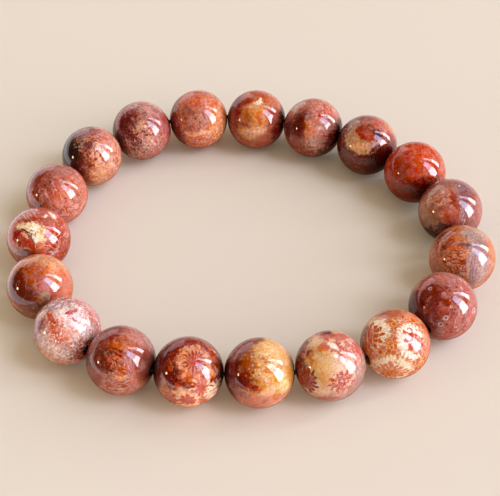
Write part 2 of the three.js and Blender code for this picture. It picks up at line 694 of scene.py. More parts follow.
@dataclass(frozen=True)
class Flower(Placed):
    """The star that one coral animal left: solid as far as its heart, and split into pointed rays round it.

    Taper under 1 thins the rays soon, over 1 keeps them wide until near their tips.
    """

    rays: float = 18.0
    heart: float = 0.3
    taper: float = 0.8

    TAKES = {**Placed.TAKES, "Beside": PLACE, "Rays": NUMBER, "Heart": NUMBER, "Taper": NUMBER}

    TWIST: ClassVar[float] = 0.7
    HEART_SOFT: ClassVar[float] = 0.5

    @classmethod
    def draw(cls, sheet: NodeSheet, taken: Sockets) -> Mapping[str, Feed]:
        """Sets waves round the centre against a level that climbs outwards."""
        off = cls.offset(sheet, taken)
        fray = cls.fray(sheet, taken)
        reach = sheet.math("ADD", sheet.vector("LENGTH", off), fray)
        across = sheet.vector("DOT_PRODUCT", off, taken["Along"])
        up = sheet.vector("DOT_PRODUCT", off, taken["Beside"])
        turn = sheet.math("ADD", sheet.math("ARCTAN2", up, across), sheet.math("MULTIPLY", fray, cls.TWIST))
        wave = sheet.math("COSINE", sheet.math("MULTIPLY", turn, taken["Rays"]))
        wave = sheet.math("MULTIPLY_ADD", wave, 0.5, 0.5)
        past = sheet.math("SUBTRACT", reach, taken["Heart"])
        past = sheet.math("DIVIDE", past, sheet.math("SUBTRACT", 1.0, taken["Heart"]))
        level = sheet.math("POWER", sheet.math("MAXIMUM", past, 0.0), taken["Taper"])
        over = sheet.math("SUBTRACT", level, wave)
        rays = sheet.step(over, 0.0, taken["Soft"])
        heart_soft = sheet.math("MULTIPLY", taken["Heart"], cls.HEART_SOFT)
        heart = sheet.step(reach, taken["Heart"], heart_soft)
        return {"Cover": sheet.math("MAXIMUM", rays, heart)}

    def values(self, side: PhotoSide) -> dict[str, Feed]:
        """Works out the inputs, with the axis square to the first."""
        found = super().values(side)
        beside = found["Centre"].cross(found["Along"])
        return {**found, "Beside": beside}


@dataclass(frozen=True)
class Flowing(Pattern):
    """A pattern all over the stone, which can be stretched along a heading."""

    scale: float = 3.0
    stretch: float = 1.0
    turn: float = 0.0
    soft: float = 0.15
    seed: int = 0

    TAKES = {"Along": PLACE, "Scale": NUMBER, "Stretch": NUMBER, "Soft": NUMBER, "Shift": PLACE}

    @classmethod
    def ground(cls, sheet: NodeSheet, taken: Sockets) -> bpy.types.NodeSocket:
        """Gives the shifted and squeezed place that the pattern is drawn at."""
        place = sheet.vector("ADD", taken["Place"], taken["Shift"])
        return sheet.squeezed(place, taken["Along"], taken["Stretch"])

    def values(self, side: PhotoSide) -> dict[str, Feed]:
        """Works out the inputs, with the axis that the pattern is stretched along."""
        return {**super().values(side), "Along": side.heading(self.turn)}


@dataclass(frozen=True)
class Mottle(Flowing):
    """Clouds, from wide drifts to fine grain, that cover about a share of the stone."""

    share: float = 0.5
    detail: float = 4.0

    TAKES = {**Flowing.TAKES, "Level": NUMBER, "Detail": NUMBER}

    # How far the noise's level is moved by a change of 1 in the share that it covers.
    LEVEL_PER_SHARE: ClassVar[float] = 0.36

    @classmethod
    def draw(cls, sheet: NodeSheet, taken: Sockets) -> Mapping[str, Feed]:
        """Cuts noise off at the level."""
        cloud = sheet.noise(cls.ground(sheet, taken), taken["Scale"], taken["Detail"]).outputs["Fac"]
        bare = sheet.step(cloud, taken["Level"], taken["Soft"])
        return {"Cover": sheet.math("SUBTRACT", 1.0, bare)}

    def values(self, side: PhotoSide) -> dict[str, Feed]:
        """Works out the inputs, with the level that leaves the share covered."""
        return {**super().values(side), "Level": 0.5 + (0.5 - self.share) * self.LEVEL_PER_SHARE}


@dataclass(frozen=True)
class Veins(Flowing):
    """Thin veins that wind through the stone. Their width is in the noise's own units."""

    width: float = 0.02
    detail: float = 3.0

    TAKES = {**Flowing.TAKES, "Width": NUMBER, "Detail": NUMBER}

    @classmethod
    def draw(cls, sheet: NodeSheet, taken: Sockets) -> Mapping[str, Feed]:
        """Keeps the places where noise is near its middle."""
        cloud = sheet.noise(cls.ground(sheet, taken), taken["Scale"], taken["Detail"]).outputs["Fac"]
        off = sheet.math("ABSOLUTE", sheet.math("SUBTRACT", cloud, 0.5))
        soft = sheet.math("MULTIPLY", taken["Width"], taken["Soft"])
        return {"Cover": sheet.step(off, taken["Width"], soft)}


@dataclass(frozen=True)
class Net(Flowing):
    """Veins between cells. Their width is a share of a cell's."""

    width: float = 0.08

    TAKES = {**Flowing.TAKES, "Width": NUMBER}

    @classmethod
    def draw(cls, sheet: NodeSheet, taken: Sockets) -> Mapping[str, Feed]:
        """Keeps the places near the edges of the cells."""
        feeds = {"Vector": cls.ground(sheet, taken), "Scale": taken["Scale"]}
        cells = sheet.node("ShaderNodeTexVoronoi", feeds, feature="DISTANCE_TO_EDGE")
        soft = sheet.math("MULTIPLY", taken["Width"], taken["Soft"])
        return {"Cover": sheet.step(cells.outputs["Distance"], taken["Width"], soft)}


@dataclass(frozen=True)
class Specks(Flowing):
    """Small round specks, in a share of the cells. Their size is a share of a cell's."""

    size: float = 0.25
    share: float = 0.5

    TAKES = {**Flowing.TAKES, "Size": NUMBER, "Share": NUMBER}

    @classmethod
    def draw(cls, sheet: NodeSheet, taken: Sockets) -> Mapping[str, Feed]:
        """Keeps the middles of the cells that are picked by their random colour."""
        feeds = {"Vector": cls.ground(sheet, taken), "Scale": taken["Scale"]}
        cells = sheet.node("ShaderNodeTexVoronoi", feeds)
        chance = sheet.vector("DOT_PRODUCT", cells.outputs["Color"], (1, 0, 0))
        picked = sheet.math("LESS_THAN", chance, taken["Share"])
        soft = sheet.math("MULTIPLY", taken["Size"], taken["Soft"])
        speck = sheet.step(cells.outputs["Distance"], taken["Size"], soft)
        return {"Cover": sheet.math("MULTIPLY", speck, picked)}


@dataclass(frozen=True)
class Lines(Flowing):
    """Fine lines along the heading, which a swirl of noise bends. Width is a share of their spacing."""

    spacing: float = 0.1
    width: float = 0.3
    swirl: float = 1.0

    TAKES = {**Flowing.TAKES, "Across": PLACE, "Spacing": NUMBER, "Width": NUMBER, "Swirl": NUMBER}

    SWIRL_DETAIL: ClassVar[float] = 3.0

    @classmethod
    def draw(cls, sheet: NodeSheet, taken: Sockets) -> Mapping[str, Feed]:
        """Counts the spacings from the middle, adds the swirl, and keeps the places near whole numbers."""
        count = sheet.vector("DOT_PRODUCT", taken["Place"], taken["Across"])
        count = sheet.math("DIVIDE", count, taken["Spacing"])
        bend = sheet.wander(cls.ground(sheet, taken), taken["Scale"], taken["Swirl"], cls.SWIRL_DETAIL)
        off = sheet.math("PINGPONG", sheet.math("ADD", count, bend), 0.5)
        return {"Cover": sheet.step(sheet.math("MULTIPLY", off, 2.0), taken["Width"], taken["Soft"])}

    def values(self, side: PhotoSide) -> dict[str, Feed]:
        """Works out the inputs, with the axis across the lines."""
        return {**super().values(side), "Across": side.heading(self.turn + 90)}


# How gritty a marking's thin parts are, from smooth at 0 to all flecks at 1.
USUAL_GRIT = 0.6


@dataclass(frozen=True)
class Marking:
    """A colour that is painted over a stone where all its patterns meet.

    Still ones don't drift, so that they stay on the pits that are cut in the stone.
    """

    colour: int
    where: tuple[Pattern, ...]
    strength: float = 1.0
    still: bool = False
    grit: float = USUAL_GRIT

    GRIT_SOFT: ClassVar[float] = 0.2

    def cover(self, sheet: NodeSheet, places: Places, level: Feed, side: PhotoSide) -> Feed:
        """Draws how much of the colour there is. Where that is a part, grit breaks it up into flecks.

        Args:
            sheet: The material's nodes.
            places: The places that patterns are drawn at.
            level: The level of the stone's grit, which wanders between 0 and 1.
            side: The stone's side in the photograph.

        Returns:
            A number from 0 to 1.
        """
        cover: Feed = self.strength
        for pattern in self.where:
            place = places.pick(pattern.PLACED, self.still)
            cover = sheet.math("MULTIPLY", cover, pattern.lay(sheet, place, side)["Cover"])
        if self.grit and not self.still:
            soft = self.GRIT_SOFT
            flecked = sheet.ramp(cover, sheet.math("SUBTRACT", level, soft), sheet.math("ADD", level, soft))
            smooth = sheet.math("MULTIPLY", cover, 1 - self.grit)
            cover = sheet.math("MULTIPLY_ADD", flecked, self.grit, smooth)
        return cover


def paint(
    colour: int, *where: Pattern, strength: float = 1.0, still: bool = False, grit: float = USUAL_GRIT
) -> Marking:
    """Returns a marking, from its colour and the patterns that it lies where they meet."""
    return Marking(colour, where, strength, still, grit)


@dataclass(frozen=True)
class Places:
    """The place on a stone in the forms that its patterns need."""

    plain: bpy.types.NodeSocket
    drifted: bpy.types.NodeSocket
    folded: bpy.types.NodeSocket
    folded_plain: bpy.types.NodeSocket

    def pick(self, placed: bool, still: bool) -> bpy.types.NodeSocket:
        """Picks a form: folded for patterns with a place, and not drifted for still ones."""
        if placed:
            return self.folded_plain if still else self.folded
        return self.plain if still else self.drifted


@dataclass(frozen=True)
class Pit:
    """A small hollow in a stone's surface, with its place on the disc and its radius in bead radii."""

    at: Point
    size: float

    DEPTH_SHARE: ClassVar[float] = 0.45
    # The rim's pale colour is a painted highlight, and the middle's dark colour is painted shade in the
    # hollow.
    RIM_HIGHLIGHT_COLOUR: ClassVar[int] = 0xCBB0AC
    RIM_WIDTH: ClassVar[float] = 0.3
    RIM_SOFT: ClassVar[float] = 0.9
    RIM_RAGGED: ClassVar[float] = 0.15
    RIM_STRENGTH: ClassVar[float] = 0.7
    CORE_SHADE_COLOUR: ClassVar[int] = 0x5A2420
    CORE_SHARE: ClassVar[float] = 0.45
    CORE_SOFT: ClassVar[float] = 0.6

    def depth(self, folded: np.ndarray, side: PhotoSide) -> np.ndarray:
        """Works out how deep the pit is at places on the stone, in bead radii."""
        away = np.linalg.norm(folded - np.array(side.direction(self.at)), axis=1) / self.size
        return self.DEPTH_SHARE * self.size * np.clip(1 - away**2, 0, 1) ** 2

    def markings(self) -> tuple[Marking, ...]:
        """Returns the painted highlight round the pit's rim and the painted shade in its middle."""
        rim_highlight = Ring(self.at, self.size, soft=self.RIM_SOFT, ragged=self.RIM_RAGGED, width=self.RIM_WIDTH)
        core_shade = Spot(self.at, self.size * self.CORE_SHARE, soft=self.CORE_SOFT)
        return (
            paint(self.RIM_HIGHLIGHT_COLOUR, rim_highlight, strength=self.RIM_STRENGTH, still=True),
            paint(self.CORE_SHADE_COLOUR, core_shade, still=True),
        )


@dataclass(frozen=True)
class Stone:
    """How one bead of the ring looks: its ground colour, and the markings over it, from first to last.

    Shade is how much of it gathers at the ends of the hole, and gloss is the polish's roughness.
    """

    name: str
    slot: Slot
    ground: int
    markings: tuple[Marking, ...] = ()
    drift: Drift = Drift()
    grain: Grain = Grain()
    shade: float = 0.6
    gloss: float = 0.05
    pits: tuple[Pit, ...] = ()
    fine_mesh: bool = False

    IOR: ClassVar[float] = 1.54
    BUMP_STRENGTH: ClassVar[float] = 0.5
    BUMP_DEPTH: ClassVar[float] = 0.02 * MM
    SHADE_COLOUR: ClassVar[int] = 0x240904

    def dress(self, side: PhotoSide, along: Vector, seed: int) -> bpy.types.Material:
        """Makes the stone's material.

        Args:
            side: The stone's side in the photograph.
            along: The line of the stone's hole.
            seed: The number that makes this stone's fine detail its own.

        Returns:
            The material.
        """
        made, sheet, surface = new_material(f"Coral {self.name}")
        local = sheet.node("ShaderNodeTexCoord").outputs["Object"]
        plain = sheet.scaled(local, 1 / BEAD_RADIUS)
        drift = replace(self.drift, seed=seed)
        drifted = drift.lay(sheet, plain, side)["Place"]
        folded_plain = Fold().lay(sheet, plain, side)["Place"]
        folded = drift.lay(sheet, folded_plain, side)["Place"]
        places = Places(plain, drifted, folded, folded_plain)
        grain = replace(self.grain, seed=seed).lay(sheet, plain, side)
        colour: Feed = linear(self.ground)
        pits = tuple(marking for pit in self.pits for marking in pit.markings())
        for marking in self.markings + pits:
            cover = marking.cover(sheet, places, grain["Level"], side)
            colour = sheet.mix(colour, linear(marking.colour), cover)
        feeds = {"Hue": grain["Hue"], "Saturation": grain["Richness"], "Value": grain["Light"]}
        colour = sheet.node("ShaderNodeHueSaturation", {**feeds, "Color": colour}).outputs["Color"]
        shade = Ends(self.shade, seed).lay(sheet, plain, side, Along=along)["Cover"]
        colour = sheet.mix(colour, linear(self.SHADE_COLOUR), shade)
        sheet.feed(surface["Base Color"], colour)
        polish = Polish(self.gloss, seed).lay(sheet, plain, side)
        feeds = {"Height": polish["Height"], "Strength": self.BUMP_STRENGTH, "Distance": self.BUMP_DEPTH}
        sheet.feed(surface["Roughness"], polish["Roughness"])
        sheet.feed(surface["Normal"], sheet.node("ShaderNodeBump", feeds).outputs["Normal"])
        sheet.feed(surface["IOR"], self.IOR)
        return made


# The stones, from bead 1 on. Their markings are placed on the disc that the photograph shows.
# Some are painted shade where neighbours sit close, and some are painted reflections, as noted at them.
VEILED = Stone("veiled rose", Slot.PALE, 0xDAAA98, (
    paint(0xEEDAD0, Mottle(3.2, share=0.6, soft=0.12, seed=1), strength=0.8),
    paint(0xC0766C, Mottle(9, share=0.45, soft=0.07, detail=6), strength=0.5),
    paint(0xF4E8E2, Mottle(11, share=0.42, soft=0.09, detail=6, seed=4), strength=0.6),
    paint(0xE2A084, Spot((-0.15, -0.2), 0.45, soft=0.9), strength=0.6),
    paint(0xAA5A4A, Spot((-0.72, 0.12), 0.46, soft=0.9), Mottle(7, share=0.72), strength=0.75),
    paint(
        0x9A6A76,
        Spot((-0.95, -0.05), 0.5, soft=0.5),
        Mottle(6, 1.6, 80, share=0.72, soft=0.1),
        strength=0.8,
    ),
    paint(0xAC7468, Spot((-0.1, 0.95), 0.5, 1.5, 0, 0.8), Mottle(8, share=0.65), strength=0.8),
    paint(0xB04C30, Spot((-0.6, 0.48), 0.14, 2.6, 52, 0.8), strength=0.6),
    paint(0x844048, Spot((-0.8, 0.16), 0.08, 2.6, 78, 0.7), strength=0.8),
    paint(
        0xC8684A, Spot((-0.38, 0.14), 0.24, 1.7, 118, 0.9), Mottle(7, share=0.75, soft=0.12), strength=0.8
    ),
    paint(0xB84824, Spot((-0.46, 0.26), 0.14, 2.2, 112, 0.5)),
    paint(
        0xC86246, Spot((-0.18, -0.14), 0.26, 1.5, -50, 0.8), Mottle(7, share=0.74, soft=0.1), strength=0.9
    ),
    paint(0xC04E2C, Spot((-0.3, -0.16), 0.12, 1.6, -60, 0.7)),
    paint(0xE09A80, Spot((0.02, -0.08), 0.24, 1.4, 30, 0.9), strength=0.5),
    paint(0xA8443E, Spot((0.1, 0.5), 0.09, 2.2, 12, 0.5), strength=0.9),
    paint(0xAE5C5A, Spot((0.18, 0.3), 0.06, 3.4, -28, 0.6), strength=0.85),
    paint(0xB4604C, Spot((0.4, -0.4), 0.26, 1.2, 0, 0.8), Mottle(8, share=0.7), strength=0.85),
    paint(0xBC685A, Spot((0.84, 0.32), 0.4, 1.6, 112, 0.8), Mottle(7, 1.6, 100, share=0.66)),
    paint(0xCA8474, Spot((0.55, 0.68), 0.34, 1.8, 130, 0.8), Mottle(8, share=0.5), strength=0.9),
    paint(
        0x8A5C68, Spot((0.0, -0.66), 0.42, 1.6, 0, 0.7), Mottle(12, share=0.42, soft=0.07), strength=0.55
    ),
    paint(0x683A46, Spot((0.0, -0.68), 0.36, 1.5, 0, 0.6), Specks(14, size=0.32, share=0.35), strength=0.6),
    paint(0xC8806A, Spot((0.1, -0.95), 0.5, 1.6, 0, 0.8), Mottle(8, share=0.6), strength=0.6),
    paint(0xA0524A, Specks(15, size=0.26, share=0.3, seed=3), strength=0.5),
    paint(0xD08C72, Spot((-0.45, -0.84), 0.5, 1.7, 150, 0.8), Mottle(6, share=0.7), strength=0.7),
    # Painted shade: maroon and dark red on the lower right, where bead 2 sits close.
    paint(0x9A3E28, Spot((0.56, -0.55), 0.34, 1.3, 40, 0.8)),
    paint(0x6A1A0C, Spot((0.74, -0.5), 0.34, soft=0.8)),
    paint(0xA07078, Spot((-0.35, 0.82), 0.34, 1.8, 15, 0.7), Lines(2, 1, 22, spacing=0.14, width=0.5)),
    paint(0xF6EEEA, Spot((0.1, 0.0), 0.8), Veins(5, 1.5, 60, width=0.014, soft=0.9), strength=0.7),
), grain=Grain(0.15, 0.4, 12), shade=0.1)

BURNT = Stone("burnt sienna", Slot.BROWN, 0x9A442E, (
    paint(0x62200F, Spot((-0.58, 0.05), 0.52, soft=0.7), Mottle(6, share=0.8, soft=0.14)),
    paint(0xB26A5A, Spot((0.4, 0.84), 0.6, 1.5, -20, 0.5)),
    paint(0x8A4A3E, Spot((-0.5, 0.8), 0.5, 1.5, 30, 0.7)),
    paint(0x7E2A18, Spot((-0.25, 0.62), 0.16, 3.4, 10, 0.8), strength=0.8),
    paint(0xB8613C, Spot((-0.03, 0.4), 0.13, 2.6, 2, 0.8), strength=0.85),
    paint(0xC07050, Spot((0.1, 0.45), 0.4), Veins(3, 4.0, 8, width=0.03, soft=0.8), strength=0.6),
    paint(0xA4462C, Spot((-0.05, -0.1), 0.32, 1.3, -35, 0.8)),
    paint(
        0x5E180C,
        Spot((-0.12, -0.1), 0.48),
        Veins(3.5, 3.5, -48, seed=1, width=0.03, soft=0.8),
        strength=0.9,
    ),
    paint(
        0xCC7C52,
        Spot((0.05, -0.12), 0.35),
        Veins(4.5, 3.5, -50, seed=4, width=0.018, soft=0.9),
        strength=0.9,
    ),
    paint(0x4A1A12, Spot((-0.28, 0.24), 0.05, 1.2, 0, 0.6)),
    paint(0x7A5C48, Spot((-0.38, 0.22), 0.07, 1.6, 30, 0.5), strength=0.85),
    paint(0xA2584E, Spot((0.24, -0.12), 0.12, 3.0, -74, 0.7), strength=0.85),
    paint(
        0xC08478,
        Spot((0.26, -0.15), 0.14, 2.8, -74),
        Lines(1.2, 1, -72, spacing=0.08, swirl=0.4),
        strength=0.7,
    ),
    paint(0xBE7864, Spot((0.06, -0.97), 0.66, 1.55, 0, 0.25)),
    # Painted reflection: a pale band across the lower half, where the lit floor further off shows.
    paint(0xC87C54, Spot((-0.02, -0.46), 0.08, 4.4, 0, 0.7), strength=0.95),
    paint(0x5E2018, Spot((-0.05, -0.5), 0.12, 3.2, 0), Specks(14, size=0.3, share=0.45), strength=0.85),
    paint(0xD8A084, Spot((0, -0.85), 0.55), Veins(2.2, 6.0, 3, width=0.022, soft=0.9), strength=0.8),
    paint(
        0x944438, Spot((-0.2, -0.8), 0.6), Veins(2.5, 6.0, -6, seed=3, width=0.03, soft=0.9), strength=0.7
    ),
    paint(0x8A4232, Spot((-0.75, -0.55), 0.3, 1.5, 60, 0.8), strength=0.8),
    paint(0x96483A, Spot((0.72, -0.06), 0.42, soft=0.6)),
    paint(0xB8766A, Spot((0.6, -0.18), 0.1, 1.8, 60, 0.7), strength=0.85),
    # Painted shade at the right end, where bead 3 sits close.
    paint(0x3E0C08, Spot((0.98, -0.28), 0.38, soft=0.5)),
    paint(0xB07468, Spot((0.6, 0.6), 0.28, 1.8, -40, 0.7), strength=0.8),
    paint(0x300C08, Spot((-0.5, 0.0), 0.5), Specks(14, size=0.28, share=0.4)),
    # Painted shade at the left end, where bead 1 sits close.
    paint(0x4A160C, Spot((-0.98, 0.1), 0.3, soft=0.6)),
), grain=Grain(0.26, 0.5, 12), shade=0.55)

FLOWERED = Stone("coral flower", Slot.RED, 0x741606, (
    paint(0x9C3416, Spot((0.1, -0.1), 0.9, soft=0.5), Mottle(5, share=0.5, soft=0.05)),
    paint(
        0xAE4824, Flower((-0.36, -0.08), 0.46, 1.0, 20, 0.4, 0.5, rays=11, heart=0.2, taper=1.8), grit=0.3
    ),
    paint(0xC26A40, Spot((-0.3, 0.02), 0.45), Veins(6, width=0.022, soft=0.8, seed=2), strength=0.5),
    paint(0xCC7E54, Spot((-0.35, 0.16), 0.45), Specks(12, size=0.34, share=0.35), strength=0.5),
    paint(0x620E04, Spot((-0.36, -0.08), 0.14, soft=0.8)),
    paint(0x5E0C04, Spot((-0.48, -0.22), 0.42, soft=0.5), Mottle(5, share=0.6, soft=0.06, seed=3)),
    paint(0xAE4A2A, Spot((-0.25, -0.4), 0.3), Veins(5, width=0.04, soft=0.8, seed=5), strength=0.8),
    paint(
        0xD68E6A, Flower((0.17, 0.29), 0.55, 1.0, 50, 0.3, 0.3, rays=16, heart=0.76, taper=2.0), grit=0.25
    ),
    paint(
        0xB2502E,
        Ring((0.17, 0.29), 0.47, width=0.12, soft=0.9),
        Specks(10, size=0.4, share=0.7),
        strength=0.9,
    ),
    paint(0xC46A48, Spot((0.12, -0.16), 0.17, 1.6, -20, 0.6), Mottle(8, share=0.6), grit=0.3),
    paint(0x9C3A28, Flower((0.17, 0.29), 0.37, 1.0, 0, 0.4, 0.3, rays=17, heart=0.4, taper=2.0), grit=0.3),
    paint(0xB45646, Spot((0.17, 0.29), 0.13, soft=0.9, ragged=0.3), strength=0.8),
    paint(0xCE8468, Spot((0.17, 0.29), 0.34), Mottle(11, share=0.3, soft=0.06, seed=7), strength=0.4),
    paint(0xDC8C68, Spot((0.7, 0.18), 0.28, 1.8, 96, 0.7), Mottle(7, 2.0, -50, share=0.6, seed=2)),
    paint(0x90382A, Spot((0.74, 0.5), 0.34, 2.0, -48, 0.6), strength=0.85),
    paint(
        0xD0866A,
        Spot((0.64, 0.6), 0.32),
        Lines(1.5, 1, -48, spacing=0.12, width=0.25, swirl=0.8),
        strength=0.7,
    ),
    paint(0xF4B48C, Spot((0.05, -1.0), 0.98, soft=0.12, ragged=0.2, seed=2), grit=0.25),
    paint(0xFABE94, Spot((0.88, -0.42), 0.32, soft=0.2, ragged=0.3), grit=0.25),
    paint(0xBE7450, Spot((-0.8, -0.52), 0.5, soft=0.3, ragged=0.25), Mottle(6, share=0.85, soft=0.06)),
    paint(0xECAC86, Flower((0.38, -0.44), 0.34, 1.1, 0, 0.4, 0.3, rays=13, heart=0.6), grit=0.4),
    paint(
        0xB65C4C, Flower((0.36, -0.42), 0.24, 1.5, -75, 0.4, 0.4, rays=9, heart=0.45, taper=2.2), grit=0.2
    ),
    paint(
        0xBC4E38, Flower((-0.02, -0.79), 0.25, 1.0, 0, 0.25, 0.25, rays=8, heart=0.7, taper=3.0), grit=0.1
    ),
    paint(0xCC6E54, Spot((-0.02, -0.79), 0.14, soft=0.7), Mottle(12, share=0.5), strength=0.5),
    paint(
        0xB85A44, Flower((-0.48, -0.76), 0.26, 1.3, -60, 0.3, 0.35, rays=8, heart=0.6, taper=2.6), grit=0.15
    ),
    paint(
        0xC46A50, Flower((0.44, -0.78), 0.2, 1.4, -70, 0.3, 0.35, rays=8, heart=0.55, taper=2.6), grit=0.15
    ),
    paint(
        0xFFD0AC, Flower((0.74, -0.5), 0.32, 1.3, 45, 0.3, 0.25, rays=16, heart=0.65, taper=1.2), grit=0.4
    ),
    paint(0xC27656, Spot((0.74, -0.56), 0.26), Lines(1, 1, 38, spacing=0.1, swirl=0.3), strength=0.6),
    paint(0x5C0E06, Spot((-0.96, 0.26), 0.78, soft=0.3, ragged=0.25), grit=0.3),
    # Painted shade: the next three marks darken both ends of the hole, where the neighbours sit close.
    paint(0x200303, Spot((-0.98, 0.1), 0.42, soft=0.6)),
    paint(0x7A2616, Spot((1.0, 0.06), 0.46, soft=0.5)),
    paint(0x300403, Spot((1.0, 0.0), 0.26, soft=0.6)),
    paint(0x985C52, Spot((0.0, 1.02), 0.56, 1.6, 0, 0.4)),
    paint(0x56100A, Spot((-0.3, -0.1), 0.6), Specks(12, size=0.22, share=0.25), strength=0.7),
), drift=Drift(0.05, 0.03), grain=Grain(0.2, 0.5, 12), shade=0.8)

AMBER = Stone("amber", Slot.AMBER, 0xD29254, (
    paint(0xD08C48, Spot((-0.2, 0.05), 0.5, soft=0.9), Mottle(4.5, share=0.75, soft=0.12)),
    paint(0xE4B074, Spot((0.3, 0.75), 0.6, 1.2, 40, 0.8), strength=0.85),
    paint(
        0xEECC98,
        Mottle(4, 2.4, 75, 0.08, share=0.42, seed=3),
        Spot((0.35, 0.45), 0.6, soft=0.8),
        strength=0.55,
    ),
    paint(0xD8985E, Spot((0.92, 0.12), 0.34, 1.8, 95, 0.7), Mottle(7, share=0.75), strength=0.85),
    paint(0xD8C47C, Spot((0.66, -0.28), 0.2, 1.8, 105, 0.6), Mottle(8, share=0.75)),
    paint(0xE4BC88, Spot((0.36, -0.42), 0.12, 2.2, 10, 0.9), strength=0.7),
    paint(
        0xB4622E,
        Spot((-0.02, 0.1), 0.55, soft=0.8),
        Veins(4.5, width=0.04, soft=0.9, detail=6),
        strength=0.7,
    ),
    paint(
        0xE2B47A, Spot((0.02, 0.0), 0.45, soft=0.7), Mottle(10, share=0.4, soft=0.08, seed=9), strength=0.6
    ),
    paint(0xA2522C, Spot((-0.05, -0.1), 0.45, soft=0.8), Specks(13, size=0.26, share=0.3), strength=0.65),
    paint(0x9A5030, Spot((0.16, 0.33), 0.08, 2.0, 60, 0.7), strength=0.4),
    paint(0xC87652, Spot((0.0, -1.0), 0.96, 1.05, 0, 0.14, 0.16, seed=4)),
    paint(0xD88E70, Spot((0.6, -0.8), 0.5, 1.3, 30, 0.6), Mottle(6, 2.0, 10, share=0.6, seed=1)),
    paint(0xC87C66, Spot((-0.5, -0.78), 0.5, 1.3, -30, 0.7)),
    paint(0xE0A87A, Spot((0.18, -0.56), 0.1, 1.8, 0, 0.8), strength=0.85),
    paint(0xB06A50, Spot((-0.1, -0.85), 0.8), Mottle(9, share=0.35, seed=5), strength=0.45),
    paint(0xB06C38, Veins(5, 1.6, 60, width=0.022, soft=0.9, seed=6), Spot((0.2, 0.2), 0.8), strength=0.5),
    paint(0x903E16, Spot((-0.54, 0.22), 0.42, 1.2, 90, 0.8), Mottle(6, share=0.85, soft=0.1)),
    paint(0x5A0C04, Spot((-1.0, 0.12), 0.93, soft=0.16, ragged=0.16, seed=1), grit=0.3),
    paint(0x8E4A40, Spot((-0.52, 0.84), 0.66, 1.1, 40, 0.16, 0.14), grit=0.3),
    paint(0x7C2010, Spot((-0.4, -0.22), 0.28, 1.4, -30, 0.5, 0.4), Mottle(7, share=0.75)),
    paint(0x600C05, Spot((-0.5, -0.24), 0.16, 2.8, -34, 0.6, 0.5)),
    paint(0x982E16, Spot((-0.2, -0.42), 0.12, 1.7, -20, 0.7, 0.6), Mottle(9, share=0.8)),
    paint(0x86463C, Spot((-0.6, -0.54), 0.16, 2.0, -25, 0.8), strength=0.85),
    # Painted shade at the left end, where the neighbour sits close.
    paint(0x3A0403, Spot((-1.0, 0.08), 0.44, soft=0.6)),
), drift=Drift(0.04, 0.025), grain=Grain(0.15, 0.28, 11), shade=0.7)

HONEY = Stone("honey and rose", Slot.PALE, 0xD6A888, (
    paint(0xE2C0A6, Mottle(4, share=0.5, soft=0.14, seed=1), strength=0.65),
    paint(0xD8A86E, Spot((-0.34, 0.14), 0.46, 1.6, 98, 0.35, 0.12), grit=0.3),
    paint(0xC48A50, Spot((-0.42, 0.3), 0.24, 1.8, 60, 0.9), strength=0.55),
    paint(0xD29866, Spot((-0.14, -0.38), 0.15, 2.2, 86, 0.8)),
    paint(0xE0B884, Spot((-0.2, 0.7), 0.26, 1.6, 10, 0.8), strength=0.8),
    paint(0xA86A40, Spot((-0.3, 0.1), 0.4), Specks(13, size=0.22, share=0.25), strength=0.6),
    paint(0xE4B894, Spot((0.1, 0.0), 0.16, 2.0, 95, 0.9), strength=0.5),
    paint(0xC06430, Spot((-0.14, 0.54), 0.13, 1.5, 20, 0.7, 0.5)),
    paint(0xC48C86, Spot((0.72, 0.42), 0.42, soft=0.9), strength=0.5),
    paint(0xC26C5C, Spot((0.34, 0.74), 0.44, 1.9, -12, 0.35), Mottle(5, 1.6, 20, share=0.6, soft=0.06)),
    paint(0xA84438, Spot((0.24, 0.44), 0.28, soft=0.6), Veins(4, 1.5, 20, width=0.04, soft=0.8)),
    paint(0xBC5A4E, Spot((0.78, 0.3), 0.5, soft=0.5), Veins(3, 2.5, -50, width=0.055, soft=0.8)),
    paint(
        0xBC7064, Spot((0.9, 0.0), 0.4, soft=0.6), Lines(2, 1, -68, spacing=0.16, width=0.4), strength=0.8
    ),
    paint(0xF0D6C2, Spot((0.08, 0.54), 0.08, 2.6, -40, 0.6)),
    paint(0xF6E8DE, Spot((0.12, 0.26), 0.05, 1.3, 0, 0.6)),
    paint(0xA07668, Spot((0.78, -0.5), 0.42, 1.7, 60, 0.7)),
    paint(0x78241A, Spot((-1.0, 0.06), 0.84, soft=0.18, ragged=0.3, seed=5), grit=0.35),
    paint(0xBE7048, Spot((-0.8, 0.12), 0.5), Mottle(8, share=0.4, soft=0.06), strength=0.85),
    # Painted shade at the left end, where the neighbour sits close, broken up by mottling.
    paint(0x400A08, Spot((-0.98, 0.08), 0.5, soft=0.6), Mottle(7, share=0.7, seed=2), strength=0.9),
    paint(0xB0542E, Spot((-0.84, -0.46), 0.4, 1.3, -60, 0.6), Mottle(6, share=0.75, seed=1)),
    paint(
        0x86261A,
        Flower((-0.62, -0.41), 0.33, 1.1, 90, 0.3, 0.35, rays=12, heart=0.58, taper=2.6),
        grit=0.15,
    ),
    paint(0xC06C54, Spot((-0.66, -0.42), 0.24), Veins(7, width=0.026, soft=0.8), strength=0.7),
    paint(
        0xB04A3A, Flower((0.3, -0.46), 0.37, 1.0, 0, 0.3, 0.35, rays=11, heart=0.58, taper=2.6), grit=0.15
    ),
    paint(0xC26656, Spot((0.3, -0.46), 0.22, soft=0.9), Mottle(9, share=0.5), strength=0.6),
    paint(0xEAC6B0, Spot((0.3, -0.46), 0.32), Veins(6, width=0.022, soft=0.8, seed=2), strength=0.7),
    paint(0xB05248, Spot((-0.08, -0.93), 0.16, 2.6, 0, 0.6), strength=0.9),
    paint(0x6E2C2A, Spot((-0.22, 0.95), 0.16, 2.6, 0, 0.6, 0.5)),
    paint(0xBC8070, Spot((0.3, -0.85), 0.4, 1.6, 20, 0.8), strength=0.5),
), drift=Drift(0.04, 0.025), grain=Grain(0.15, 0.3, 12), shade=0.05)

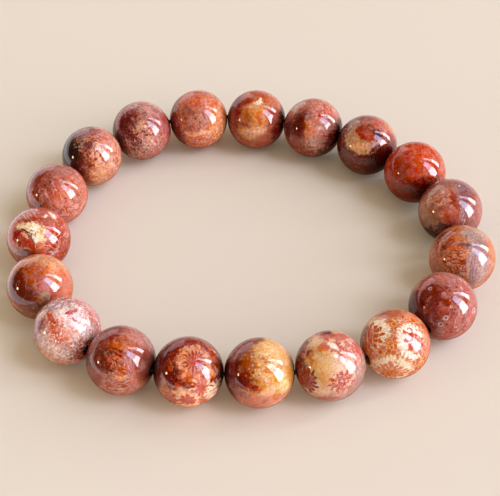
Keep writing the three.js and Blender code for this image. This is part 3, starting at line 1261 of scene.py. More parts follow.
CREAM_FLOWERS = Stone("cream flowers", Slot.PALE, 0xC4642A, (
    paint(0xE2BA8E, Net(6.5, width=0.05, soft=0.9, seed=1), strength=0.8),
    paint(0xB44C1C, Specks(6.5, size=0.36, share=0.8, seed=1), strength=0.85),
    paint(0xDC8868, Spot((0.05, 1.0), 0.62, 1.4, 0, 0.5), Mottle(6, 1.8, 40, 0.06, share=0.7)),
    paint(0xB8684E, Spot((-0.3, 0.86), 0.3, 1.9, 15, 0.6)),
    paint(0xC0624A, Spot((1.0, 0.05), 0.46, 1.8, 92, 0.5), Mottle(6, 2.0, 60, 0.08, share=0.7)),
    paint(0x963C14, Spot((-0.05, 0.1), 0.5), Specks(9, size=0.26, share=0.5, seed=9), strength=0.85),
    paint(0xF0DABC, Flower((-0.62, 0.3), 0.5, 1.0, 0, 0.4, 0.2, rays=24, heart=0.82, taper=1.2), grit=0.15),
    paint(
        0xEED6B4, Flower((-0.16, -0.76), 0.54, 1.2, 0, 0.4, 0.2, rays=28, heart=0.8, taper=1.2), grit=0.2
    ),
    paint(
        0xEEDAC2, Flower((0.46, 0.1), 0.46, 1.2, -70, 0.4, 0.2, rays=24, heart=0.78, taper=1.2), grit=0.2
    ),
    paint(0xE8CCAA, Spot((-0.64, 0.64), 0.16, 1.6, 40, 0.7), strength=0.7),
    paint(
        0xDCAA80,
        Spot((-0.14, -0.74), 0.5),
        Lines(1, 1, 60, spacing=0.09, width=0.2, swirl=1.5),
        strength=0.35,
    ),
    paint(
        0xB84E18, Flower((-0.74, 0.2), 0.43, 1.1, 10, 0.3, 0.3, rays=13, heart=0.58, taper=3.0), grit=0.1
    ),
    paint(
        0xEEC49C,
        Spot((-0.66, 0.2), 0.34),
        Lines(1.0, 1, 90, spacing=0.15, width=0.16, swirl=0.7),
        strength=0.7,
    ),
    paint(0x7C2A16, Spot((-0.95, 0.25), 0.36, soft=0.7), strength=0.85),
    paint(0xC4683C, Spot((-0.84, -0.44), 0.36, 1.3, 100, 0.7), Mottle(6, share=0.75), strength=0.8),
    paint(
        0xCC6634, Flower((-0.16, -0.8), 0.38, 1.35, 0, 0.35, 0.45, rays=15, heart=0.5, taper=2.4), grit=0.2
    ),
    paint(0xE4AE84, Spot((-0.16, -0.8), 0.3), Veins(6, width=0.024, soft=0.8), strength=0.6),
    paint(
        0xBC523C, Flower((0.56, 0.08), 0.3, 1.5, -62, 0.35, 0.45, rays=9, heart=0.5, taper=2.4), grit=0.2
    ),
    paint(
        0xE8C0A8, Spot((0.56, 0.08), 0.34), Veins(5, 1.6, -40, width=0.028, soft=0.8, seed=3), strength=0.75
    ),
    paint(0x962A18, Spot((0.44, 0.26), 0.05, 1.5, 20, 0.5), strength=0.8),
    paint(0xB87460, Spot((1.0, 0.05), 0.5, 1.6, 92, 0.8), strength=0.55),
), drift=Drift(0.04, 0.03), grain=Grain(0.14, 0.34, 12), shade=0.1)

PITTED = Stone("pitted", Slot.BROWN, 0xA65242, (
    paint(0xB26C5E, Spot((0.4, 0.8), 0.8, soft=0.9)),
    paint(0xA85A4C, Spot((0.95, 0.1), 0.75, soft=0.8)),
    paint(0x701E10, Spot((-0.36, 0.1), 0.64, soft=0.6), Mottle(4, 1.5, 30, 0.12, share=0.72)),
    # Painted shade and painted dark reflection of bead 6 on the lower left.
    paint(0x5A0804, Spot((-0.88, -0.34), 0.75, soft=0.2, ragged=0.3), grit=0.3),
    paint(0x300302, Spot((-0.96, -0.3), 0.5, soft=0.6)),
    paint(0x6E1810, Spot((-0.3, -0.4), 0.3, 1.3, 70, 0.7)),
    paint(0xA2564A, Spot((0.2, -0.8), 0.6, soft=0.8), strength=0.7),
    paint(
        0xC08A7C, Spot((0.3, -0.6), 0.55, soft=0.5), Veins(3, 3.5, 65, width=0.02, soft=0.9), strength=0.8
    ),
    paint(
        0x66302A,
        Spot((0.2, -0.5), 0.6, soft=0.5),
        Veins(3.4, 3.0, 50, width=0.016, soft=0.9, seed=2),
        strength=0.7,
    ),
    paint(0x78463A, Spot((-0.14, 0.47), 0.08, soft=0.7), grit=0.3),
    paint(0x8A4A44, Spot((-0.31, -0.36), 0.06, 2.4, 80, 0.6)),
    paint(0x481410, Specks(8, size=0.2, share=0.35)),
    paint(0x481410, Spot((-0.35, 0.35), 0.25), Specks(12, size=0.3, share=0.45, seed=3)),
    paint(0xC09488, Specks(9, size=0.14, share=0.25, seed=6), strength=0.8),
), grain=Grain(0.22, 0.6, 13), shade=0.5, fine_mesh=True, pits=(
    Pit((-0.35, 0.5), 0.046), Pit((0.03, 0.34), 0.036), Pit((0.31, 0.75), 0.042), Pit((0.52, 0.74), 0.03),
    Pit((0.24, -0.02), 0.03), Pit((0.08, -0.34), 0.056), Pit((-0.06, -0.53), 0.06),
    Pit((0.88, -0.14), 0.075), Pit((0.99, 0.0), 0.05), Pit((-0.52, -0.07), 0.025), Pit((0.54, 0.49), 0.036),
))

WEDGED = Stone("mauve wedge", Slot.AMBER, 0xBE6E46, (
    paint(0xA05434, Spot((-0.75, -0.15), 0.45, soft=0.8)),
    paint(0xCA825C, Spot((-0.08, -0.1), 0.5, 1.3, 90, 0.7)),
    paint(0x8E3018, Spot((-0.14, -0.05), 0.54, 1.2, 90, 0.5), Veins(6, width=0.044, soft=0.8)),
    paint(0x7C2A18, Spot((-0.12, 0.0), 0.5), Mottle(9, 1.6, 30, 0.05, share=0.34), strength=0.85),
    paint(0xD89C74, Spot((-0.14, -0.1), 0.48), Veins(6, width=0.02, soft=0.9, seed=4), strength=0.5),
    paint(0x3E1810, Spot((-0.2, -0.42), 0.25), Specks(10, size=0.34, share=0.35, seed=2), strength=0.6),
    paint(0xBC6040, Spot((-0.2, 0.46), 0.26, 1.3, -30, 0.8, 0.4), strength=0.8),
    paint(0x9E3A22, Spot((-0.32, 0.5), 0.12, 1.5, -20, 0.6, 0.5), Mottle(9, share=0.7)),
    paint(0x6A1E18, Spot((-0.5, 0.34), 0.09, 1.4, 30, 0.7, 0.5)),
    paint(0xBE7654, Spot((0.02, 0.74), 0.3, soft=0.7), Mottle(6, share=0.6), strength=0.8),
    paint(
        0x7A3428,
        Spot((-0.56, 0.66), 0.3, 2.0, 40),
        Lines(1.5, 1, 40, spacing=0.11, swirl=0.6),
        strength=0.85,
    ),
    paint(0x6A2C1E, Spot((-0.66, 0.62), 0.22, 1.8, 45, 0.8), strength=0.7),
    paint(0xB29080, Spot((0.38, 0.72), 0.32, 1.3, -20, 0.4)),
    paint(0x967E70, Spot((0.42, 0.56), 0.22, 1.5, -20, 0.9), strength=0.6),
    paint(0xB87452, Spot((0.98, 0.1), 0.42, 1.5, 92, 0.6)),
    paint(0xA87E76, Spot((0.5, -0.2), 0.4, 1.9, 96, 0.16, 0.08), grit=0.3),
    paint(0x9A746E, Spot((0.5, 0.36), 0.2, 1.4, 30, 0.7), strength=0.8),
    paint(
        0x7E5458, Spot((0.42, -0.3), 0.3, 2.2, 97), Lines(1.6, 1, 86, spacing=0.09, swirl=0.5), strength=0.6
    ),
    paint(0xC49282, Spot((0.36, -0.82), 0.3, soft=0.8), strength=0.6),
    paint(0x604848, Spot((0.1, 0.4), 0.06, 2.8, -5, 0.6)),
    paint(0xB89484, Spot((0.6, -0.4), 0.1, 3.4, 102, 0.9), strength=0.8),
    paint(0xCC9270, Spot((0.17, -0.4), 0.04, 9.0, 88, 0.7)),
    paint(0x7A4A44, Spot((0.13, 0.66), 0.03, 8.0, 96, 0.7)),
    paint(0xDCAC90, Spot((0.1, 0.17), 0.014, 16.0, 2, 0.7), strength=0.8),
), drift=Drift(0.05, 0.03), grain=Grain(0.18, 0.6, 13), shade=0.4)

MAUVE = Stone("mauve brown", Slot.BROWN, 0x94503F, (
    paint(0x9A6258, Spot((0.15, 0.92), 0.8, soft=0.5)),
    paint(0x806064, Spot((0.5, 0.5), 0.44, soft=0.8)),
    paint(0x78403C, Spot((0.72, 0.2), 0.5, soft=0.6)),
    paint(0xB4806C, Spot((-0.45, 0.5), 0.34, 1.4, 40, 0.8), strength=0.8),
    paint(0xA87458, Spot((-0.65, 0.05), 0.5, 1.3, 60, 0.8), strength=0.8),
    paint(0xC0745C, Spot((-0.14, 0.2), 0.4, 1.3, 70, 0.7)),
    paint(0x86402E, Spot((-0.12, 0.1), 0.5), Veins(3, 4.5, 24, width=0.04, soft=0.9), strength=0.75),
    paint(
        0xD89E88, Spot((-0.22, 0.22), 0.5), Veins(3.5, 5.0, 24, seed=5, width=0.022, soft=0.9), strength=0.8
    ),
    paint(0x8A3624, Spot((0.15, 0.3), 0.11, 3.2, 112, 0.8)),
    paint(0x8E5C3E, Spot((-0.6, -0.3), 0.45, soft=0.8), strength=0.9),
    paint(0x9E5C50, Spot((0.92, -0.1), 0.62, soft=0.7)),
    paint(0xA8442C, Spot((0.08, -0.3), 0.22, 1.8, 120, 0.8)),
    paint(0x9A5444, Spot((0.45, -0.42), 0.3, soft=0.8), Mottle(7, share=0.7)),
    paint(0x8A5C58, Spot((0.4, -0.08), 0.12, 1.9, 80, 0.5)),
    paint(0xB48A82, Spot((0.4, -0.08), 0.13, 1.9, 80), Lines(1, 1, 82, spacing=0.08), strength=0.6),
    paint(0xDCB4A8, Ring((0.36, -0.33), 0.12, width=0.1), Spot((0.47, -0.32), 0.1), strength=0.8),
    paint(0x50201C, Spot((-0.2, -0.5), 0.16, 1.8, 15, 0.7, 0.6)),
    paint(0x2E0906, Spot((-0.4, -0.88), 0.5, 1.3, -20, 0.5, 0.4)),
    paint(0x5A2418, Spot((-0.75, 0.62), 0.22, 2.0, 42, 0.8), strength=0.8),
    paint(0xD8B8B0, Spot((0.24, 0.8), 0.035)),
), grain=Grain(0.18, 0.5, 12), shade=0.4)

BRICK = Stone("brick red", Slot.RED, 0xB63616, (
    paint(0x8C2A0C, Spot((-0.35, 0.25), 0.7, soft=0.8), Mottle(5, share=0.8, soft=0.2)),
    paint(0xC4563C, Spot((0.4, 0.75), 0.8, soft=0.8)),
    paint(0xC04A2A, Spot((0.12, 0.1), 0.4, 1.4, 60, 0.9), strength=0.8),
    paint(0xBC5038, Spot((0.95, 0.0), 0.5, soft=0.8)),
    paint(0x6E1005, Spot((0.0, -0.95), 0.95, soft=0.5)),
    # Painted shade on the lower part, near where the neighbour sits close.
    paint(0x400402, Spot((0.3, -0.62), 0.46, soft=0.8)),
    paint(0x1C0201, Spot((0.42, -0.78), 0.36, soft=0.7)),
    paint(0x84301A, Spot((-0.65, -0.5), 0.35, soft=0.9), strength=0.8),
    paint(0x6A2410, Spot((-0.3, -0.85), 0.5), Mottle(9, 2.0, 10, share=0.4, seed=2), strength=0.6),
    paint(0x6A140A, Mottle(13, share=0.36, soft=0.08, detail=6), strength=0.5),
    paint(
        0x5A140C, Spot((-0.05, -0.1), 0.4, 1.8, -5), Specks(10, size=0.28, share=0.4, seed=4), strength=0.75
    ),
), grain=Grain(0.2, 0.55, 14), shade=0.25)

GOLDEN = Stone("golden patch", Slot.BROWN, 0x520E07, (
    paint(0x602010, Spot((-0.35, -0.6), 0.6, soft=0.9), Mottle(6, share=0.7, soft=0.1)),
    paint(
        0x824C3C,
        Spot((-0.3, -0.6), 0.6),
        Lines(2, 1, -20, spacing=0.1, width=0.2, swirl=1.2),
        strength=0.35,
    ),
    paint(0xAE6252, Spot((0.45, 0.9), 0.92, soft=0.3, ragged=0.2)),
    paint(0x94605A, Spot((-0.1, 0.95), 0.4, soft=0.8)),
    paint(0xC07C64, Spot((0.78, 0.5), 0.3, soft=0.8)),
    paint(0x8E4A40, Spot((0.8, 0.06), 0.34, 1.6, 0, 0.5, 0.4)),
    paint(0xBE8656, Spot((-0.3, 0.22), 0.43, 1.0, 0, 0.15, 0.22), grit=0.3),
    paint(0xCC9062, Spot((-0.06, -0.12), 0.2, 2.2, -4, 0.3, 0.4)),
    paint(0xB4846A, Spot((-0.42, 0.46), 0.36, soft=0.9), strength=0.8),
    paint(0x6A4026, Spot((-0.3, 0.2), 0.34), Specks(12, size=0.28, share=0.32), strength=0.8),
    paint(0xD8A87A, Spot((-0.2, 0.0), 0.4), Mottle(12, share=0.32, soft=0.05), strength=0.5),
    paint(0x8E2C14, Spot((-0.12, 0.42), 0.22, 1.5, -60, 0.2, 0.3), grit=0.3),
    paint(0x9A3A24, Spot((0.1, 0.24), 0.16, 1.4, -40, 0.3, 0.3), grit=0.3),
    paint(0xB8857A, Spot((0.3, 0.0), 0.13, 1.9, 20, 0.7, 0.5), strength=0.85),
    paint(0x6E2A1E, Spot((0.42, -0.14), 0.16, 2.0, 20, 0.5, 0.5)),
    paint(0x541008, Spot((0.5, -0.38), 0.28, 1.6, 25, 0.4, 0.4)),
    paint(0x2E0202, Spot((0.5, -0.66), 0.5, 1.4, -30, 0.7)),
), drift=Drift(0.05, 0.03), grain=Grain(0.2, 0.6, 12), shade=0.4)

BANDED = Stone("rose bands", Slot.BROWN, 0xAC5C48, (
    paint(0xC47E6C, Spot((0.45, 0.5), 0.62, soft=0.9)),
    paint(0xA8423A, Spot((0.3, 0.42), 0.5), Veins(3, 2.0, -60, width=0.035, soft=0.9), strength=0.65),
    paint(0x863A28, Spot((-0.6, -0.5), 0.6, soft=0.7), Mottle(5, share=0.8, soft=0.14)),
    paint(0x681808, Spot((-0.44, 0.2), 0.3, 1.9, 70, 0.4, 0.2), grit=0.4),
    paint(0x480C05, Spot((-0.54, 0.1), 0.18, 1.9, 75, 0.8)),
    paint(0x541A10, Spot((-0.82, 0.0), 0.32, soft=0.8)),
    paint(0xBC9684, Spot((-0.5, 0.78), 0.36, soft=0.7), strength=0.85),
    paint(0xA8604A, Spot((-0.4, 0.62), 0.14, 1.8, 40, 0.8), strength=0.8),
    paint(0x94645A, Spot((-0.16, 0.46), 0.07, 4.5, 76, 0.8), strength=0.85),
    paint(0xCE7A56, Spot((-0.12, -0.08), 0.17, 2.8, 85, 0.8)),
    paint(0xCE8468, Spot((0.14, -0.08), 0.16, 1.6, 60, 0.8), strength=0.8),
    paint(0xD0A498, Spot((0.28, -0.04), 0.1, 2.6, 50, 0.8), strength=0.85),
    paint(0xB07460, Spot((0.12, -0.5), 0.4, soft=0.9), Mottle(8, share=0.65, soft=0.08)),
    paint(0x9A5244, Spot((0.62, 0.0), 0.3, 1.4, 90, 0.8), strength=0.8),
    # Painted shade on the lower right, where bead 11 sits close.
    paint(0x5A1A10, Spot((0.68, -0.46), 0.3, 1.4, -60, 0.7)),
    paint(0x5E3A2E, Spot((0.3, -0.86), 0.36, 1.4, 20, 0.7), Mottle(7, share=0.7, soft=0.1)),
    paint(0xC09480, Spot((-0.05, -0.62), 0.24, soft=0.8), Mottle(8, share=0.55), strength=0.85),
    # Painted shade: the next two marks darken the lower right and the right rim, where bead 11 sits close.
    paint(0x2A0906, Spot((0.58, -0.82), 0.5, soft=0.8), strength=0.75),
    paint(0x160302, Spot((0.98, -0.34), 0.54, 1.4, 90, 0.35)),
    paint(0x8A3A2A, Spot((-0.25, -0.92), 0.36, soft=0.7), strength=0.8),
    paint(0x6A281C, Specks(13, size=0.26, share=0.3, seed=2), strength=0.6),
), grain=Grain(0.2, 0.6, 12), shade=0.5)

HEARTED = Stone("amber heart", Slot.AMBER, 0xA04A2C, (
    paint(0xB4604E, Spot((0.15, 1.0), 0.8, soft=0.4)),
    paint(0xBE6C50, Spot((0.7, 0.5), 0.36, soft=0.8)),
    paint(0xBE6C38, Spot((-0.06, 0.14), 0.52, soft=0.5)),
    paint(0xD08C52, Spot((0.0, 0.1), 0.26, 1.6, 88, 0.9), Mottle(5, share=0.7, soft=0.12), strength=0.85),
    paint(0xA2542C, Spot((-0.32, 0.06), 0.2, soft=0.9)),
    paint(0x6A2C16, Spot((-0.26, 0.04), 0.26), Specks(15, size=0.26, share=0.4), strength=0.65),
    paint(0xC0603A, Spot((0.12, 0.06), 0.1, 2.0, 85, 0.8)),
    paint(0xD09A58, Spot((-0.1, 0.42), 0.07, 4.4, 4, 0.8), strength=0.9),
    paint(0xE8C8A6, Spot((0.06, 0.56), 0.09, 1.9, 5, 0.4, 0.4)),
    paint(0xE8C8A6, Spot((0.14, 0.66), 0.055, 1.7, 70, 0.4, 0.4)),
    paint(0x8E2816, Spot((-0.3, 0.62), 0.12, 1.3, 0, 0.6, 0.5)),
    paint(0x8A2414, Spot((-0.52, 0.52), 0.12, 1.3, 40, 0.6, 0.5)),
    paint(0x84361C, Spot((-0.42, -0.2), 0.09, 2.8, -15, 0.8, 0.5)),
    paint(0xCE8C52, Spot((-0.35, -0.5), 0.22, 1.8, -15, 0.7)),
    paint(0xDCA27A, Spot((0.02, -0.4), 0.15, 1.9, 0, 0.9)),
    paint(0xF8E4D0, Spot((-0.09, -0.43), 0.045, soft=0.4)),
    paint(0xF8E4D0, Spot((0.09, -0.43), 0.04, soft=0.4)),
    paint(0x9C4A34, Spot((0.0, -0.98), 0.66, soft=0.6), Mottle(8, share=0.8, soft=0.1)),
    paint(0x721204, Spot((-1.0, 0.06), 0.9, soft=0.16, ragged=0.2), grit=0.3),
    paint(0xA05A3E, Spot((-0.74, -0.52), 0.3, 1.5, -50, 0.8), strength=0.6),
    paint(0xA04A28, Spot((-0.7, 0.02), 0.3), Specks(14, size=0.24, share=0.3, seed=2), strength=0.6),
    # Painted shade at the left end, where the neighbour sits close.
    paint(0x4A0A04, Spot((-1.0, 0.05), 0.4, soft=0.7)),
    paint(0x9A442C, Spot((0.66, 0.0), 0.3, soft=0.8)),
    # Painted shade: the next three marks darken the lower right and the right end, where the neighbour sits
    # close.
    paint(0x5E120A, Spot((0.72, -0.4), 0.34, soft=0.8)),
    paint(0x240302, Spot((0.8, -0.6), 0.34, 1.5, 55, 0.8), strength=0.85),
    paint(0x240302, Spot((0.98, -0.18), 0.42, 1.5, 90, 0.6)),
), drift=Drift(0.05, 0.03), grain=Grain(0.18, 0.45, 12), shade=0.9)

DUSTY = Stone("dusty disc", Slot.RED, 0xC86844, (
    paint(0xBC6C58, Spot((0.0, 0.95), 0.7, soft=0.8)),
    paint(0xE4905E, Spot((0.88, -0.15), 0.72, soft=0.8), Mottle(6, share=0.8, soft=0.1)),
    paint(0xAC5E46, Spot((-0.18, 0.06), 0.5, soft=0.35)),
    paint(0x964C38, Spot((-0.4, 0.25), 0.3, soft=0.9), strength=0.7),
    paint(0xB87A68, Spot((0.08, 0.0), 0.26, 1.3, 80, 0.9), strength=0.8),
    paint(0x743428, Spot((-0.1, -0.08), 0.42), Veins(5, 3.5, -50, width=0.03, soft=0.9), strength=0.75),
    paint(0x7A3828, Spot((-0.3, 0.3), 0.45), Specks(13, size=0.28, share=0.4), strength=0.7),
    paint(0xC05838, Spot((-0.1, 0.6), 0.16, 1.5, 60, 0.9), strength=0.85),
    paint(0xDE9468, Spot((-0.25, -0.5), 0.06, 4.5, -18, 0.8)),
    paint(0xE49C70, Spot((0.22, -0.47), 0.07, 4.5, 22, 0.8)),
    paint(0xF2B48C, Spot((0.66, -0.42), 0.38, soft=0.8), Specks(9, size=0.42, share=0.55), strength=0.85),
    paint(0xB85A40, Spot((0.15, -0.95), 0.5, soft=0.8), Mottle(7, share=0.65, soft=0.1), strength=0.8),
    paint(0xE0A080, Spot((0.2, -0.75), 0.5), Mottle(13, share=0.36, soft=0.05, seed=2), strength=0.6),
    paint(0x822810, Spot((-1.0, -0.08), 0.88, soft=0.28, ragged=0.2)),
    paint(0x701A08, Spot((-0.8, -0.5), 0.42, soft=0.7)),
    # Painted shade at the left end, where the neighbour sits close.
    paint(0x480804, Spot((-1.0, -0.15), 0.46, soft=0.7)),
), grain=Grain(0.18, 0.64, 13), shade=0.25)

NETTED = Stone("tan net", Slot.BROWN, 0xAA5A52, (
    paint(0x6C2822, Spot((-0.4, 0.05), 0.98, soft=0.5), Mottle(5, share=0.64, soft=0.08, detail=6)),
    paint(0xB88478, Spot((0.2, 0.9), 0.66, soft=0.7), Mottle(7, share=0.8, soft=0.1)),
    paint(0xA04640, Spot((0.88, 0.1), 0.65, soft=0.8), Mottle(6, share=0.8, soft=0.12)),
    paint(0xB47462, Spot((0.4, -0.6), 0.6, soft=0.7), Mottle(6, share=0.7, soft=0.1, seed=5)),
    paint(0xC88A70, Spot((-0.02, -0.2), 0.7, soft=0.6), Veins(5, width=0.034, soft=0.9, detail=5)),
    paint(
        0xD8A68C, Spot((0.05, -0.3), 0.6, soft=0.6), Mottle(9, share=0.28, soft=0.06, seed=3), strength=0.85
    ),
    paint(0xC88E6A, Spot((-0.1, 0.12), 0.14, 1.8, 70, 0.8, 0.6), strength=0.9),
    paint(0x5E1814, Spot((-0.45, 0.36), 0.26, 1.3, 20, 0.7, 0.5), Mottle(8, share=0.82), grit=0.4),
    paint(0x5E1A16, Spot((-0.6, 0.0), 0.2, 1.3, 80, 0.7, 0.5), Mottle(8, share=0.8)),
    paint(0x661E1A, Spot((-0.36, -0.22), 0.16, 1.2, 0, 0.7, 0.5), grit=0.4),
    paint(0x702822, Spot((-0.1, -0.5), 0.12, 1.3, 20, 0.7, 0.5)),
    paint(0x6A201A, Spot((-0.25, -0.4), 0.55), Specks(5.5, size=0.36, share=0.55, seed=4), strength=0.85),
    paint(0xDCB09A, Spot((0.16, -0.42), 0.26, soft=0.6), Veins(8, width=0.03, soft=0.9), strength=0.8),
    paint(0xBC8A68, Spot((-0.3, -0.88), 0.34, 1.3, 0, 0.8), Mottle(8, share=0.6), strength=0.8),
    paint(0x520E08, Spot((-0.84, -0.4), 0.42, 1.5, -60, 0.7)),
    paint(0x6E2E24, Spot((-0.98, 0.0), 0.42, soft=0.7), strength=0.8),
    paint(0x481612, Mottle(10, share=0.3, soft=0.05, seed=8), Spot((-0.2, 0.0), 0.9), strength=0.55),
), grain=Grain(0.2, 0.56, 13), shade=0.5, gloss=0.1)

SMOKED = Stone("smoke and peach", Slot.BROWN, 0xC48062, (
    paint(0xDCA084, Spot((0.6, 0.1), 0.75), Mottle(6, share=0.6, soft=0.1), strength=0.7),
    paint(0xA84E38, Spot((0.5, 0.0), 0.85), Veins(5, 1.6, -60, width=0.026, soft=0.9), strength=0.75),
    paint(0xDA9A6A, Spot((0.1, -0.65), 0.44, soft=0.9), Mottle(7, share=0.75, soft=0.1)),
    paint(0xC88070, Spot((0.4, 0.82), 0.5, soft=0.7), Mottle(6, share=0.75, soft=0.1)),
    paint(0x8E6460, Spot((-0.32, 0.84), 0.5, soft=0.6)),
    paint(0x8A3A32, Spot((-0.05, 0.75), 0.45), Veins(4, 2.0, 15, width=0.022, soft=0.9), strength=0.7),
    paint(0x8A3E1E, Spot((-0.92, -0.25), 1.06, soft=0.22, ragged=0.18)),
    paint(0xA85028, Spot((-0.2, -0.2), 0.24, 1.8, 76, 0.8), Mottle(8, share=0.7, soft=0.08)),
    paint(
        0xCC824E, Spot((-0.14, -0.1), 0.2, 2.0, 76), Mottle(10, share=0.36, soft=0.05, seed=3), strength=0.8
    ),
    paint(0x5A1408, Spot((-0.52, -0.3), 0.4, 1.4, 80, 0.6), Mottle(6, share=0.8, soft=0.1)),
    paint(0x7A2418, Spot((-0.02, -0.1), 0.4), Veins(4, 3.0, 70, width=0.026, soft=0.9), strength=0.9),
    paint(0x9A8672, Spot((-0.42, 0.42), 0.24, soft=0.7), Mottle(7, share=0.55), strength=0.85),
    paint(0x6A2A24, Spot((-0.15, 0.34), 0.14, 1.6, 60, 0.7, 0.5)),
    paint(0x2A2220, Spot((-0.96, 0.24), 0.62, soft=0.35, ragged=0.3)),
    paint(0x1C100E, Spot((-0.62, 0.12), 0.28, 2.0, 80, 0.7), Mottle(8, share=0.66, soft=0.06)),
    paint(0x6A100A, Spot((-0.9, -0.45), 0.36, soft=0.7)),
    paint(0x742A1E, Spot((0.0, 0.22), 0.02, 11.0, 62, 0.7), strength=0.9),
), drift=Drift(0.06, 0.03), grain=Grain(0.2, 0.6, 13), gloss=0.07, shade=0.4)

LINED = Stone("brick pink", Slot.RED, 0xB86248, (
    paint(0xA4665A, Spot((0.1, 0.92), 0.65, soft=0.8)),
    paint(0xCE7E68, Spot((0.45, -0.65), 0.7, soft=0.9)),
    paint(0xC86C52, Spot((-0.05, 0.02), 0.3, soft=0.9), strength=0.7),
    paint(0x7C3022, Spot((-0.72, 0.25), 0.66, soft=0.7), Mottle(4.5, 1.5, 45, share=0.75, soft=0.12)),
    paint(0x8A3E2E, Spot((-0.35, 0.45), 0.4, soft=0.7), Mottle(8, share=0.55, seed=2), strength=0.85),
    paint(
        0xD8947C,
        Spot((0.2, -0.3), 0.85, soft=0.6),
        Veins(2.6, 6.0, -62, width=0.028, soft=0.9),
        strength=0.75,
    ),
    paint(
        0x8A3A2E, Spot((0.1, -0.2), 0.9), Veins(3, 5.5, -58, seed=4, width=0.018, soft=0.9), strength=0.75
    ),
    paint(
        0xD8907A,
        Spot((0.7, 0.5), 0.4),
        Lines(1.5, 1, -48, spacing=0.1, width=0.25, swirl=0.5),
        strength=0.5,
    ),
    paint(0x4A2420, Spot((-0.19, 0.37), 0.05, ragged=0.2)),
    paint(0x5E3A38, Spot((0.24, -0.09), 0.04, ragged=0.2)),
    paint(0x54302A, Spot((-0.49, 0.56), 0.035, ragged=0.2), strength=0.8),
    paint(0x6A5250, Spot((0.38, 0.79), 0.05, 1.5, 0, 0.6)),
    paint(0x7E2A20, Spot((0.09, -0.32), 0.025, 4.5, -58, 0.6)),
    paint(0x5A3028, Specks(9, size=0.18, share=0.25), strength=0.7),
    paint(0xE0A898, Specks(12, size=0.2, share=0.2, seed=3), strength=0.5),
), grain=Grain(0.18, 0.5, 12), shade=0.4)

SEAMED = Stone("cream seam", Slot.RED, 0xB04E3A, (
    paint(0x8E3424, Spot((0.78, -0.1), 0.7), Veins(3, 4.0, 45, width=0.035, soft=0.9), strength=0.8),
    paint(
        0xD08A74, Spot((0.7, -0.1), 0.8), Veins(3.2, 4.0, 45, width=0.026, soft=0.9, seed=3), strength=0.75
    ),
    paint(0xA86052, Spot((0.1, 0.95), 0.7, soft=0.5)),
    paint(
        0xCCA098,
        Spot((-0.4, 0.8), 0.45),
        Lines(1, 1, -58, spacing=0.15, width=0.3, swirl=0.3),
        strength=0.6,
    ),
    paint(0xB44E34, Spot((0.62, 0.72), 0.3, 1.6, -40, 0.8), strength=0.8),
    paint(0x9E3014, Spot((-0.16, 0.56), 0.17, 2.6, 4, 0.3, 0.2), grit=0.3),
    paint(
        0xD0907A, Spot((-0.2, 0.56), 0.3), Lines(1, 1, -48, spacing=0.2, width=0.2, swirl=0.2), strength=0.5
    ),
    paint(0xE0BE94, Spot((-0.36, 0.36), 0.17, 2.8, -8, 0.3, 0.4), grit=0.3),
    paint(0xEECDA0, Spot((-0.1, 0.18), 0.24, 1.6, -60, 0.35, 0.4), grit=0.3),
    paint(0xD09A58, Spot((0.1, 0.26), 0.1, 1.4, 30, 0.8), strength=0.9),
    paint(0xF6E6D0, Mottle(8, share=0.4, soft=0.05), Spot((-0.18, 0.26), 0.34), strength=0.6),
    paint(0x7E5028, Spot((-0.22, 0.36), 0.32), Specks(12, size=0.3, share=0.4), strength=0.8),
    paint(0x901C0C, Spot((-0.62, 0.04), 0.22, 1.3, 70, 0.2, 0.2), grit=0.3),
    paint(0xA23418, Spot((-0.4, -0.14), 0.24, 1.8, -18, 0.25, 0.25), grit=0.3),
    paint(0xE0A078, Spot((-0.4, -0.1), 0.36), Veins(3.0, 5.0, -16, width=0.034, soft=0.8), strength=0.85),
    paint(
        0x6A180E,
        Spot((-0.4, -0.05), 0.34),
        Veins(2.6, 5.0, -20, seed=5, width=0.026, soft=0.8),
        strength=0.8,
    ),
    paint(0xF0DEC8, Spot((-0.12, 0.0), 0.05, 3.4, -60, 0.5), strength=0.9),
    paint(0xE4B08C, Ring((0.03, -0.19), 0.12, width=0.2, soft=0.9, ragged=0.2), strength=0.8),
    paint(0xC86E4A, Spot((0.03, -0.19), 0.1, soft=0.4, ragged=0.2), grit=0.3),
    paint(
        0xDCA290,
        Spot((0.28, -0.28), 0.28, 1.6, -35, 0.6),
        Veins(6, 1.5, -30, width=0.032, soft=0.8),
        strength=0.9,
    ),
    paint(0xE8CCB4, Spot((0.42, 0.74), 0.09, 2.0, -50, 0.5, 0.5)),
    paint(0xE2C2AC, Spot((0.22, 0.7), 0.06, 1.6, 40, 0.5, 0.5)),
    paint(0x7E1E14, Spot((0.3, -0.38), 0.02, 11.0, 18, 0.6)),
    paint(0x6E2014, Spot((-0.42, -0.46), 0.16, 2.4, -8, 0.5, 0.4)),
    paint(0xA03A24, Spot((-0.12, -0.46), 0.16, 1.8, 0, 0.8)),
    paint(0xCC6A50, Spot((0.12, -0.4), 0.15, soft=0.8), strength=0.7),
    # Painted reflection: a lighter patch on the lower-left rim.
    paint(0xA66A58, Spot((-0.7, -0.5), 0.26, 1.4, -50, 0.8)),
    paint(0x1C0F0C, Spot((-0.42, 0.25), 0.022, 12.0, -28, 0.4, 0.1), still=True),
), drift=Drift(0.04, 0.03), grain=Grain(0.15, 0.5, 12), shade=0.4)

